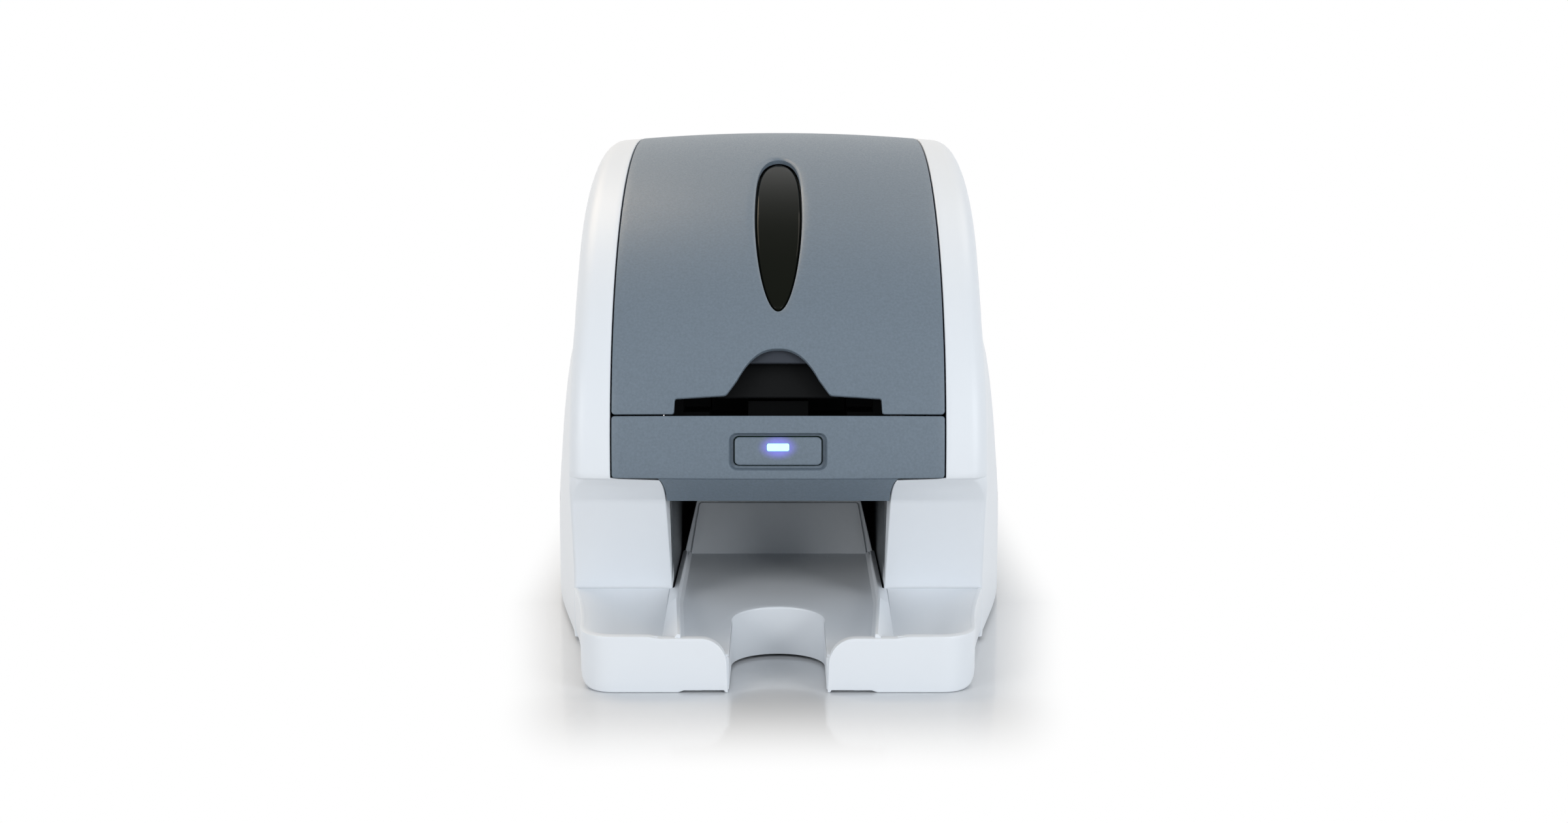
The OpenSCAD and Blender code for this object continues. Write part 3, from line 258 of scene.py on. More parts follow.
def distance(points, loop):
    """Distance from each point to a closed loop's segments."""
    best = np.full(len(points), 1e9)
    for a, b in zip(loop, np.roll(loop, -1, 0)):
        d = b - a
        t = np.clip(((points - a) @ d) / max(d @ d, 1e-12), 0, 1)
        best = np.minimum(best, np.linalg.norm(points - (a + t[:, None] * d), axis=1))
    return best


def depth_inside(points, loop):
    """Distance from the loop, negative outside it."""
    return distance(points, loop) * np.where(inside(points, loop), 1.0, -1.0)


def edge_drop(d, r):
    """How far a rounded edge of radius r has dropped at distance d from the edge."""
    inner = np.clip(r - d, 0, r)
    return r - np.sqrt(np.maximum(r * r - inner * inner, 0))


def even(value):
    """A depth that is the same at every point."""
    return lambda points: np.full(len(points), value)


def patch(outer, holes, rings, spacing, depth_of, place, thickness_of):
    """A closed shell over a flat region with holes.

    depth_of gives each point's depth below the surface, thickness_of the depth of the underside, and place
    puts (u, v, depth) in space.
    """
    def in_region(spots):
        keep = inside(spots, outer)
        for hole in holes:
            keep &= ~inside(spots, hole)
        return keep

    loops = [outer] + list(holes)
    low, high = outer.min(0), outer.max(0)
    us = np.arange(low[0] + spacing / 2, high[0], spacing)
    vs = np.arange(low[1] + spacing / 2, high[1], spacing)
    cells = np.array([(u + (spacing / 2 if j % 2 else 0), v) for j, v in enumerate(vs) for u in us])
    cells = cells[in_region(cells)]
    for loop in loops + list(rings):
        cells = cells[distance(cells, loop) > spacing * 0.45]
    points, edges, starts = [], [], []
    for loop in loops + list(rings):
        base = len(points)
        starts.append((base, len(loop)))
        points.extend(loop)
        edges.extend((base + i, base + (i + 1) % len(loop)) for i in range(len(loop)))
    points.extend(cells)
    flat, _, triangles, origin, _, _ = delaunay_2d_cdt([Vector(p) for p in points], edges, [], 0, 1e-6)
    flat = np.array([(p.x, p.y) for p in flat])
    where = {}
    for i, sources in enumerate(origin):
        for source in sources:
            where[source] = i
    triangles = np.array(triangles)
    a, b, c = (flat[triangles[:, k]] for k in range(3))
    area = (b[:, 0] - a[:, 0]) * (c[:, 1] - a[:, 1]) - (b[:, 1] - a[:, 1]) * (c[:, 0] - a[:, 0])
    triangles = triangles[in_region(flat[triangles].mean(1)) & (np.abs(area) > 1e-7)]
    used = np.unique(triangles)
    index = {int(k): i for i, k in enumerate(used)}
    flat = flat[used]
    depth = depth_of(flat)
    under = np.maximum(thickness_of(flat), depth + 0.3)
    verts = [place(u, v, d) for (u, v), d in [*zip(flat, depth), *zip(flat, under)]]
    n = len(flat)
    faces = [tuple(index[int(k)] for k in t) for t in triangles]
    faces += [tuple(n + i for i in reversed(face)) for face in faces]
    for base, count in starts[:len(loops)]:
        ring = [index.get(where[base + i]) for i in range(count)]
        ring = [k for i, k in enumerate(ring) if k is not None and k != ring[i - 1]]
        for i, k in enumerate(ring):
            m = ring[(i + 1) % len(ring)]
            faces.append((m, k, n + k, n + m))
    return verts, faces


# ---- The covers' top curve ----

CURVE_STEPS = 1200
LAST_FRONT = 1149      # the last point that counts as the front
HINGE_POINTS = 400     # the points behind the crest among which the hinge lies
SLOPE_SPAN = 1.5       # half the length over which the curve's direction is taken


class TopCurve:
    """The side view of the covers' top from the nose over the crest and down the rear, by arc length."""

    def __init__(self):
        t = np.linspace(0, math.pi / 2, CURVE_STEPS + 1)
        front = np.stack([CREST_Y - (CREST_Y - NOSE_Y) * np.cos(t) ** (2 / FRONT_POWER),
                          NOSE_Z + (BODY_H - NOSE_Z) * np.sin(t) ** (2 / FRONT_POWER)], 1)
        rear = np.stack([CREST_Y + (REAR_Y - CREST_Y) * np.sin(t) ** (2 / REAR_POWER),
                         REAR_Z + (BODY_H - REAR_Z) * np.clip(np.cos(t), 0, 1) ** (2 / REAR_POWER)], 1)
        down = np.array([[REAR_Y, z] for z in np.linspace(REAR_Z, BASE_Z, 40)])
        points = np.concatenate([front, rear[1:], down[1:]])
        step = np.linalg.norm(np.diff(points, axis=0), axis=1)
        self.points = points[np.concatenate([[True], step > 1e-6])]
        self.s = np.concatenate([[0], np.cumsum(np.linalg.norm(np.diff(self.points, axis=0), axis=1))])
        self.end = float(self.s[-1])
        self.crest_s = float(self.s[LAST_FRONT])
        self.rear_s = self.end - (REAR_Z - BASE_Z)

    def place(self, s):
        return np.array([np.interp(s, self.s, self.points[:, k]) for k in (0, 1)])

    def at(self, s):
        """Place and outward normal at arc length s."""
        s = min(max(s, 0.0), self.end)
        y, z = self.place(s)
        ty, tz = self.place(min(s + SLOPE_SPAN, self.end)) - self.place(max(s - SLOPE_SPAN, 0.0))
        length = math.hypot(ty, tz)
        return y, z, -tz / length, ty / length

    def s_at_front(self, z):
        """Arc length where the front curve is at height z."""
        front = self.s <= self.crest_s
        return float(np.interp(z, self.points[front, 1], self.s[front]))

    def s_at_distance(self, y, z, r):
        """Arc length behind (y, z) where the curve is r away from it."""
        d = np.hypot(self.points[:, 0] - y, self.points[:, 1] - z)
        behind = np.where((self.points[:, 0] > y) & (d >= r))[0][0]
        return float(self.s[behind])

    def z_behind_crest(self, y):
        top = self.points[self.points[:, 0] > CREST_Y][:HINGE_POINTS]
        return float(np.interp(y, top[:, 0], top[:, 1]))


TOP = TopCurve()
HINGE_Z = TOP.z_behind_crest(HINGE_Y) - HINGE_DEPTH


def crown(x):
    return CROWN * min(abs(x), CROWN_END) ** 2 / LID_HALF ** 2


def on_top(x, s, depth):
    """A point on the crowned top, depth below its surface."""
    y, z, ny, nz = TOP.at(s)
    d = depth + crown(x)
    return (x, y - ny * d, z - nz * d)


# ---- Materials ----

SPILL_COLOR = (0.16, 0.10, 0.95)       # the lamp's light on the button round it
SPILL_NEAR, SPILL_FAR = 1.2, 5.8
SPILL_WIDER = 0.62                     # the spill reaches further sideways than up and down
LAMP_COLOR = (0.46, 0.98, 0.96)
SLOT_MATERIALS = {}    # the finish of each slot, by the slot's name


def node_material(name):
    material = bpy.data.materials.new(name)
    material.use_nodes = True
    tree = material.node_tree
    return material, tree, tree.nodes["Principled BSDF"]


def set_inputs(tree, node, inputs):
    """Sets a node's inputs, by name or number, to values or to sockets that are linked to them."""
    for key, value in inputs.items():
        if isinstance(value, bpy.types.NodeSocket):
            tree.links.new(value, node.inputs[key])
        else:
            node.inputs[key].default_value = value


def add_node(tree, kind, inputs=None, **settings):
    node = tree.nodes.new("ShaderNode" + kind)
    for key, value in settings.items():
        setattr(node, key, value)
    set_inputs(tree, node, inputs or {})
    return node


def vector_math(tree, operation, *inputs, output="Vector"):
    return add_node(tree, "VectorMath", dict(enumerate(inputs)), operation=operation).outputs[output]


def map_range(tree, value, low, high, to_low, to_high, curve="LINEAR"):
    inputs = {"Value": value, "From Min": low, "From Max": high, "To Min": to_low, "To Max": to_high}
    return add_node(tree, "MapRange", inputs, interpolation_type=curve).outputs["Result"]


def object_place(tree):
    return add_node(tree, "TexCoord").outputs["Object"]


def noise(tree, coordinates, scale, detail):
    inputs = {"Vector": coordinates, "Scale": scale, "Detail": detail, "Roughness": 0.55}
    return add_node(tree, "TexNoise", inputs).outputs["Fac"]


def spread(tree, value, low, high):
    """Maps a noise value, which lies mostly between 0.3 and 0.7, to the range low..high."""
    return map_range(tree, value, 0.3, 0.7, low, high)


def tinted(tree, color, factor):
    """The colour times a varying brightness."""
    return add_node(tree, "VectorMath", {0: color, "Scale": factor}, operation="SCALE").outputs["Vector"]


def finish_material(name, color, roughness, grain=900.0, bump=0.12, bump_mm=0.05, mottle=0.03,
                    mottle_scale=30.0, rough_spread=0.05, metallic=0.0, specular=0.5, stretch=None):
    """A moulded or machined surface: fine grain in the normal, a varying roughness and a faint mottle."""
    material, tree, shader = node_material(name)
    place = object_place(tree)
    if stretch:
        place = add_node(tree, "Mapping", {"Vector": place, "Scale": stretch}).outputs["Vector"]
    fine = noise(tree, place, grain, 3.0)
    broad = noise(tree, place, mottle_scale, 3.0)
    relief = add_node(tree, "Bump", {"Strength": bump, "Distance": bump_mm * MM, "Height": fine})
    set_inputs(tree, shader, {
        "Base Color": tinted(tree, color, spread(tree, broad, 1 - mottle, 1 + mottle)),
        "Roughness": spread(tree, fine, roughness - rough_spread, roughness + rough_spread),
        "Normal": relief.outputs["Normal"], "Metallic": metallic, "Specular IOR Level": specular})
    SLOT_MATERIALS[name] = material
    return material


def grey_plastic(name="lid_grey"):
    """Spark-eroded grey plastic: a fine grain with small brighter and darker specks."""
    return finish_material(name, (0.126, 0.163, 0.202), 0.44, grain=1500.0, bump=0.75, bump_mm=0.08,
                           mottle=0.08, mottle_scale=1000.0, rough_spread=0.10, specular=0.42)


def button_plastic():
    """The grey plastic with the lamp's blue spill round the light."""
    material = grey_plastic("button_grey")
    tree = material.node_tree
    away = vector_math(tree, "SUBTRACT", object_place(tree), LIGHT_CENTRE)
    away = vector_math(tree, "MULTIPLY", away, (SPILL_WIDER, 1.0, 1.0))
    far = vector_math(tree, "LENGTH", away, output="Value")
    fade = map_range(tree, far, SPILL_NEAR * MM, SPILL_FAR * MM, 1.0, 0.0, "SMOOTHERSTEP")
    set_inputs(tree, tree.nodes["Principled BSDF"],
               {"Emission Color": tinted(tree, SPILL_COLOR, fade), "Emission Strength": 0.6})
    return material


def light_material():
    """A lit diffuser, nearly even over its face."""
    material, tree, shader = node_material("status_light_glow")
    uneven = spread(tree, noise(tree, object_place(tree), 500.0, 4.0), 0.95, 1.05)
    set_inputs(tree, shader, {"Base Color": (0.2, 0.5, 0.6, 1), "Emission Strength": 1.2,
                              "Emission Color": tinted(tree, LAMP_COLOR, uneven)})
    return material


WHITE = finish_material("cover_white", (0.715, 0.75, 0.79), 0.40, grain=2200.0, bump=0.06, bump_mm=0.03,
                        mottle=0.006, mottle_scale=12.0, rough_spread=0.03, specular=0.30)
GREY = grey_plastic()
LIGHT_S = TOP.s_at_front(BUTTON_Z + 1.5)
LIGHT_CENTRE = tuple(c * MM for c in on_top(0, LIGHT_S, 0.3))
BUTTON_GREY = button_plastic()
GLOSS = finish_material("window_black", (0.0055, 0.0065, 0.0042), 0.07, grain=60.0, bump=0.02, bump_mm=0.02,
                        mottle=0.2, mottle_scale=9.0, rough_spread=0.02, specular=0.04)
BLACK = finish_material("black_plastic", (0.0045, 0.005, 0.0055), 0.6, grain=1200.0, bump=0.3,
                        mottle=0.08, mottle_scale=80.0, specular=0.08)
# Its dark grey also paints the shade at the top of the slot's dome, on the slot's lip.
DARK_GREY = finish_material("inner_dark_grey", (0.034, 0.040, 0.052), 0.55, grain=1200.0, bump=0.3,
                            mottle=0.08, mottle_scale=80.0, specular=0.2)
finish_material("chassis_steel", (0.062, 0.070, 0.078), 0.42, grain=700.0, bump=0.15, mottle=0.06)
finish_material("bright_steel", (0.55, 0.56, 0.58), 0.28, grain=260.0, mottle=0.05, metallic=1.0,
                stretch=(1.0, 14.0, 14.0))
finish_material("bush_brass", (0.60, 0.43, 0.19), 0.3, grain=300.0, bump=0.1, metallic=1.0)
finish_material("gear_nylon", (0.76, 0.74, 0.66), 0.42, grain=500.0, bump=0.08)
finish_material("aluminium", (0.66, 0.67, 0.69), 0.33, grain=320.0, metallic=1.0, stretch=(1.0, 10.0, 10.0))
finish_material("roller_rubber", (0.028, 0.028, 0.031), 0.72, grain=800.0, bump=0.35, mottle=0.12)
finish_material("cleaning_blue", (0.07, 0.22, 0.50), 0.55, grain=600.0, bump=0.2)
finish_material("board_green", (0.018, 0.10, 0.045), 0.35, grain=250.0, bump=0.1, mottle=0.15,
                mottle_scale=160.0)
finish_material("ribbon_purple", (0.09, 0.045, 0.14), 0.15, grain=40.0, bump=0.1)
LIGHT = SLOT_MATERIALS["light_blue"] = light_material()


def dress_cad_nodes():
    """Gives every CAD node the finish of its record slot."""
    for entry in frame["record"]["subparts"]:
        obj = frame["nodes"][entry["node"]]
        obj.data.materials.clear()
        obj.data.materials.append(SLOT_MATERIALS[entry["material_slot"]])
        obj.data.shade_smooth()
        obj.data.set_sharp_from_angle(angle=math.radians(28))


# ---- Lid ----

LID_S0 = TOP.s_at_front(LID_LOW_Z)
LID_S1 = TOP.s_at_distance(HINGE_Y, HINGE_Z, HINGE_SEAM_R)
WINDOW_S0, WINDOW_S1 = 67.9, 179.6
WINDOW_HALF = 9.8
EGG_POINTS = 72
DISH, DISH_TOP = 0.4, 0.4              # depth of the dish round the window, and what its top adds
LENS_SUNK, LENS_SUNK_TOP = 0.4, 1.7    # depth of the lens at its foot, and what its top adds
LENS_R = 0.9           # rounding of the lens at its edge
LENS_THICK = 0.8
APRON_HALF = 24.0
LIP_DEPTH, APRON_DEPTH = 3.4, 9.2      # of the dark sheets that paint the shade in the slot's dome


def window_egg(wider, lower, higher, spacing):
    """The window's outline, fuller towards its upper end, made wider and longer by the given amounts."""
    s0, s1 = WINDOW_S0 - lower, WINDOW_S1 + higher
    out = []
    for k in range(EGG_POINTS):
        a = 2 * math.pi * k / EGG_POINTS
        v = -math.cos(a)
        fuller = 1 + 0.3 * v ** 2 if v > 0 else 1
        out.append(((WINDOW_HALF + wider) * math.sin(a) * fuller, s0 + (s1 - s0) * (v + 1) / 2))
    return resample(out, spacing)


def lid_outline():
    """The lid's edge with the card slot and its dome in the front edge."""
    s0 = LID_S0
    half = SLOT_W / 2
    dome = [(x, s0 + DOME_H - DOME_CURVE * abs(x) ** DOME_POWER)
            for x in np.linspace(DOME_TURN, -DOME_TURN, 41)]
    right = [(DOME_FOOT, s0 + FOOT_H, FOOT_R), (half, s0 + SLOT_H, 0.8), (half + 0.4, s0, 1.0),
             (LID_HALF, s0, 1.5), (LID_HALF, LID_S1, 0.8)]
    left = [(-x, s, r) for x, s, r in reversed(right)]
    return resample(rounded(left[1:] + [(x, s, 0) for x, s in reversed(dome)] + right + left[:1]), 1.6)


def rings_of(loop, r):
    """Rows of points that carry the rounding of an edge."""
    return [offset(loop, r * k) for k in (0.06, 0.25, 0.55, 1.0)]


def lid():
    outer = lid_outline()
    hole = window_egg(0, 0, 0, 1.4)
    rim = window_egg(0.5, 0.7, 0.9, 1.6)
    mid = window_egg(0.26, 0.35, 0.45, 1.5)
    lip = window_egg(0.95, 1.2, 1.5, 1.8)

    def recess(points):
        """The dish round the window, deeper towards the window's top."""
        gap = distance(points, hole)
        full = np.maximum(distance(points, rim) + gap, 1e-6)
        within = inside(points, rim)
        t = np.where(within, 1 - gap / full, 0.0)
        deep = DISH + DISH_TOP * smooth((points[:, 1] - 120.0) / 55.0)
        return deep * smooth(t) + 0.25 * (1 - smooth(distance(points, rim) / 0.6))

    def depth(points):
        return edge_drop(distance(points, outer), EDGE_R) + recess(points)

    rings = rings_of(outer, EDGE_R) + [rim, mid, lip]
    skin = patch(outer, [hole], rings, 2.6, depth, on_top, even(WALL))
    make_object("lid_skin", *skin, GREY, "lid", ["lid_shell"], "lid_grey")


def slot_shade_sheets():
    """Sheets inside the lid that paint the shade in the slot's dome: a dark grey lip above a set-back black
    apron.
    """
    top = LID_S0 + DOME_H + 4.0

    def panel(low, depth, thick):
        loop = trapezoid(APRON_HALF, APRON_HALF, low, top, 0.6, 0.6, 2.0)
        return patch(loop, [], [offset(loop, 0.4)], 3.0, lambda p: depth + edge_drop(distance(p, loop), 0.4),
                     on_top, even(depth + thick))

    web = trapezoid(APRON_HALF, APRON_HALF, top - 1.5, top, 0, 0, 2.0)
    web = patch(web, [], [], 0.7, even(4.6), on_top, even(9.6))
    lip = joined([panel(LID_S0 + DOME_H - 4.8, LIP_DEPTH, 1.6), web])
    # The lip and the apron are painted shade: dark sheets that darken the inside of the slot.
    make_object("lid_slot_shade_lip", *lip, DARK_GREY, "lid")
    make_object("lid_slot_shade_apron", *panel(LID_S0 + FOOT_H + 0.5, APRON_DEPTH, 1.4), BLACK, "lid")


def lid_window():
    """The glossy egg in the lid: a raised pillow with a narrow sunk border, wider at the top."""
    outer = window_egg(-0.15, -0.2, -0.1, 1.2)
    pillow = window_egg(-0.75, -0.9, -2.6, 1.1)

    def depth(points):
        sink = LENS_SUNK + LENS_SUNK_TOP * smooth((points[:, 1] - 110.0) / 65.0)
        gap = depth_inside(points, pillow)
        border = LENS_R + 0.4 * smooth(-gap / 0.4)
        return sink + np.where(gap > 0, edge_drop(np.maximum(gap, 0), LENS_R), border)

    rings = [pillow] + [offset(pillow, LENS_R * k) for k in (-0.2, -0.45, 0.05, 0.2, 0.45, 0.75, 1.0)]
    skin = patch(outer, [], rings, 1.8, depth, on_top, lambda p: depth(p) + LENS_THICK)
    make_object("lid_window_lens", *skin, GLOSS, "lid", ["lid_window"], "window_black")


# ---- Front panel ----

def front_panel():
    s_top = TOP.s_at_front(PANEL_TOP_Z)
    outer = trapezoid(LID_HALF, LID_HALF, 0, s_top, 1.2, 1.2, 1.8)
    s_mid = TOP.s_at_front(BUTTON_Z)
    hole = rounded_rect(0, s_mid, BUTTON_W + 2 * BUTTON_GAP, BUTTON_H + 2 * BUTTON_GAP, 2.0, 1.0)
    bezel = rounded_rect(0, s_mid - 0.2, BEZEL_W, BEZEL_H, 3.0, 1.2)

    def depth(points):
        rim = depth_inside(points, bezel)
        return (edge_drop(distance(points, outer), EDGE_R) + BEZEL_SUNK * smooth((rim + 0.15) / 0.75)
                + edge_drop(distance(points, hole), 0.25))

    rings = rings_of(outer, EDGE_R) + [offset(bezel, k) for k in (-0.2, 0.0, 0.2, 0.4, 0.6)]
    rings += [offset(hole, -0.22)]
    skin = patch(outer, [hole], rings, 2.4, depth, on_top, even(WALL))
    make_object("front_panel_skin", *joined([skin, panel_underside()]), GREY, "chassis", ["front_panel"],
                "lid_grey")


def cheek_edge(z):
    """Half width of the gap between the cheeks at height z, flared out under the nose."""
    t = np.clip((z - CHEEK_TOP[1]) / (NOSE_Z - CHEEK_TOP[1]), 0, 1)
    wider = CHEEK_WIDER * np.clip((z - HOPPER_H) / (CHEEK_TOP[1] - HOPPER_H), 0, 1)
    return CHEEK_HALF + float(wider) + CHEEK_FLARE * (1 - math.sqrt(max(1 - t ** 2.4, 0)))


def panel_underside():
    """The sloping face under the panel, between the cheeks."""
    rows, columns = 15, 33
    verts = []
    for depth in (0.0, 1.6):
        for i in range(rows):
            k = i / (rows - 1)
            z = NOSE_Z - 0.2 - (NOSE_Z - CHEEK_TOP[1]) * k
            y = NOSE_Y + 0.5 + (CHEEK_TOP[0] - NOSE_Y - 0.2) * k ** 1.05
            half = cheek_edge(z) - 0.45
            for j in range(columns):
                x = half * (2 * j / (columns - 1) - 1)
                verts.append((x, y + crown(x) * (1 - k) + depth * 0.75, z + depth * (0.7 + 0.3 * k)))
    n = rows * columns
    grid = grid_faces(rows, columns)
    faces = flipped(grid) + [tuple(n + i for i in face) for face in grid]
    border = (list(range(columns)) + [i * columns + columns - 1 for i in range(1, rows)]
              + [(rows - 1) * columns + j for j in range(columns - 2, -1, -1)]
              + [i * columns for i in range(rows - 2, 0, -1)])
    faces += [(a, b, n + b, n + a) for a, b in zip(border, border[1:] + border[:1])]
    return verts, faces


def button():
    s_mid = TOP.s_at_front(BUTTON_Z)
    outer = rounded_rect(0, s_mid, BUTTON_W, BUTTON_H, 1.8, 1.0)
    hole = rounded_rect(0, LIGHT_S, LIGHT_W + 0.2, LIGHT_H + 0.2, 0.8, 0.6)

    def depth(points):
        rim = edge_drop(distance(points, outer), BUTTON_R)
        return BUTTON_SUNK + rim + edge_drop(distance(points, hole), 0.15)

    rings = [offset(outer, BUTTON_R * k) for k in (0.08, 0.3, 0.6, 1.0)] + [offset(hole, -0.15)]
    skin = patch(outer, [hole], rings, 1.6, depth, on_top, even(WALL + 1.0))
    stem = box_mesh((-3, NOSE_Y + 3.3, BUTTON_Z - 2.5), (3, NOSE_Y + 4.4, BUTTON_Z + 2.5))
    make_object("button_cap", *joined([skin, stem]), BUTTON_GREY, "button", ["front_button"], "lid_grey")
    lens = rounded_rect(0, LIGHT_S, LIGHT_W, LIGHT_H, 0.75, 0.6)

    def lens_depth(points):
        return 0.2 + edge_drop(distance(points, lens), 0.3)

    light = patch(lens, [], [offset(lens, 0.1), offset(lens, 0.3)], 0.8, lens_depth, on_top, even(1.8))
    make_object("status_light_lens", *light, LIGHT, "button", ["status_light"], "light_blue")


# ---- Rear cover ----

# x, z, width, height
PORTS = [(-24, 15.8, 12, 11), (0, 15.8, 16, 13.5), (25, 15.8, 14, 12), (-50, 36, 21, 14)]
PORT_GAP = 0.3
VENT_XS, VENT_ROWS = (-36, -12, 12, 36), 7
VENT_Z, VENT_PITCH = 64.0, 7.0
VENT_W, VENT_H = 18, 2.5
SCREW_X, SCREW_Z, SCREW_HOLE_R = 57, 13, 3.2
HINGE_WALL = 0.6       # thickness at the hinge, where the lid swings past


def rear_cover():
    s0 = TOP.s_at_distance(HINGE_Y, HINGE_Z, HINGE_SEAM_R + SEAM)
    s1 = TOP.end - 0.01

    def s_at(z):
        return s1 - (z - BASE_Z)

    outer = trapezoid(LID_HALF, LID_HALF, s0, s1, 0.8, 1.0, 2.0)
    holes = [rounded_rect(x, s_at(z + h / 2), w + 2 * PORT_GAP, h + 2 * PORT_GAP, 0.8, 1.5, 3)
             for x, z, w, h in PORTS]
    for i in range(VENT_ROWS):
        for x in VENT_XS:
            holes.append(rounded_rect(x, s_at(VENT_Z + VENT_PITCH * i), VENT_W, VENT_H, 1.2, 1.5, 3))
    for x in (-SCREW_X, SCREW_X):
        holes.append(np.array([(x + SCREW_HOLE_R * math.cos(a), s_at(SCREW_Z) + SCREW_HOLE_R * math.sin(a))
                               for a in np.linspace(0, 2 * math.pi, 25)[:-1]]))

    def thickness(points):
        return HINGE_WALL + (WALL - HINGE_WALL) * smooth((points[:, 1] - s0) / 7.0)

    skin = patch(outer, holes, rings_of(outer, EDGE_R), 3.0, lambda p: edge_drop(distance(p, outer), EDGE_R),
                 on_top, thickness)
    make_object("rear_cover_skin", *skin, WHITE, "chassis", ["rear_cover"], "cover_white")


# ---- Side covers ----

# The share of the plan's extra width that is left (LEAN_K) at each share of the height (LEAN_Z).
LEAN_Z = [0.0, 0.22, 0.30, 0.40, 0.53, 0.68, 0.83, 0.93, 1.0]
LEAN_K = [1.0, 1.0, 0.92, 0.84, 0.65, 0.14, 0.11, 0.04, 0.0]


def lean(z):
    """The share of the plan's extra width that is left at height z, smoothed."""
    t = np.clip(z / BODY_H, 0, 1)
    blur = 0.05
    return sum(np.interp(t + k * blur, LEAN_Z, LEAN_K) * w for k, w in ((-1, .25), (0, .5), (1, .25)))


def plan_x(y):
    """Half width of the covers at their foot."""
    return FRONT_HALF + (BODY_W / 2 - FRONT_HALF) * smooth((y - FRONT_Y) / (WIDEST_Y - FRONT_Y))


def flank_x(y, z):
    """Half width of the covers; the nose keeps the width that they have at the parting line."""
    return SHOULDER_X + (plan_x(max(y, PARTING_Y)) - SHOULDER_X) * lean(z)


FLANK_HUB = np.array([30.0, 90.0])     # (y, z) on the flank where the grid's columns meet
FOOT_ROUND = 2.0       # rounding of the covers at their lower edge
FOOT_TURN = 7.5        # how far the lower edge turns in under the flank
RETURN_MIN, RETURN_MAX = 8.0, 26.0     # depth of the cheek's inner wall at its foot and at its top
RETURN_LEAN = 0.9      # how far the cheek's inner wall leans towards the middle at its rear edge


def bend(a, b, c, t):
    """A point on the curve from a to c that bends towards b."""
    return (1 - t) ** 2 * a + 2 * t * (1 - t) * b + t * t * c


def cover_rows():
    """Rows round the cover, from the nose over the top, down the rear and back along the foot and the cheek.

    Each is (point, inward direction, x of the inner edge, fillet, share of the crown, depth of the return).
    """
    rows = []
    for s in np.linspace(0, TOP.crest_s, 110):
        y, z, ny, nz = TOP.at(s)
        rows.append(((y, z), (-ny, -nz), LID_HALF + SEAM, SHOULDER_R, 1.0, WALL))
    for s in np.linspace(TOP.crest_s, TOP.rear_s, 66)[1:]:
        y, z, ny, nz = TOP.at(s)
        k = ((s - TOP.crest_s) / (TOP.rear_s - TOP.crest_s)) ** 2
        rows.append(((y, z), (-ny, -nz), LID_HALF + SEAM, SHOULDER_R + (REAR_R - SHOULDER_R) * k, 1.0, WALL))
    for z in np.linspace(REAR_Z, BASE_Z + FOOT_ROUND, 10)[1:]:
        rows.append(((REAR_Y, z), (-1.0, 0.0), LID_HALF + SEAM, REAR_R, 1.0, WALL))
    for y in np.linspace(REAR_Y - REAR_R - crown(CROWN_END) - 0.6, PARTING_Y + 4, 40):
        rows.append(((y, BASE_Z), (0.0, 1.0), flank_x(y, BASE_Z) - FOOT_TURN, FOOT_ROUND, 0.0, WALL))
    for z in np.linspace(BASE_Z, HOPPER_H, 5):
        rows.append(((PARTING_Y, z), (1.0, 0.0), CHEEK_HALF, CHEEK_FILLET, 0.0, WALL))
    low, top = np.array([PARTING_Y, HOPPER_H]), np.array(CHEEK_TOP)
    mid = np.array([PARTING_Y - 5.0, (low[1] + top[1]) / 2])
    for k in np.linspace(0, 1, 25)[1:]:
        p = bend(low, mid, top, k)
        rows.append((tuple(p), (1.0, 0.0), cheek_edge(p[1]), CHEEK_FILLET, 0.0,
                     RETURN_MIN + (RETURN_MAX - RETURN_MIN) * k))
    nose = np.array([NOSE_Y + 0.9, NOSE_Z - 0.9])
    for k in np.linspace(0, 1, 16)[1:]:
        p = top + (nose - top) * k
        fillet = CHEEK_FILLET + (SHOULDER_R - CHEEK_FILLET) * k ** 2
        # The inward direction turns level towards the nose, so that the rows stay in order on the flank.
        rise = 0.53 - 0.47 * float(smooth((k - 0.35) / 0.65))
        rows.append((tuple(p), (math.sqrt(1 - rise ** 2), rise), cheek_edge(p[1]), fillet, k, WALL))
    rows.append(((NOSE_Y + 0.25, NOSE_Z - 0.4), (1.0, 0.02), LID_HALF + SEAM - 4, SHOULDER_R, 1.0, WALL))
    return rows


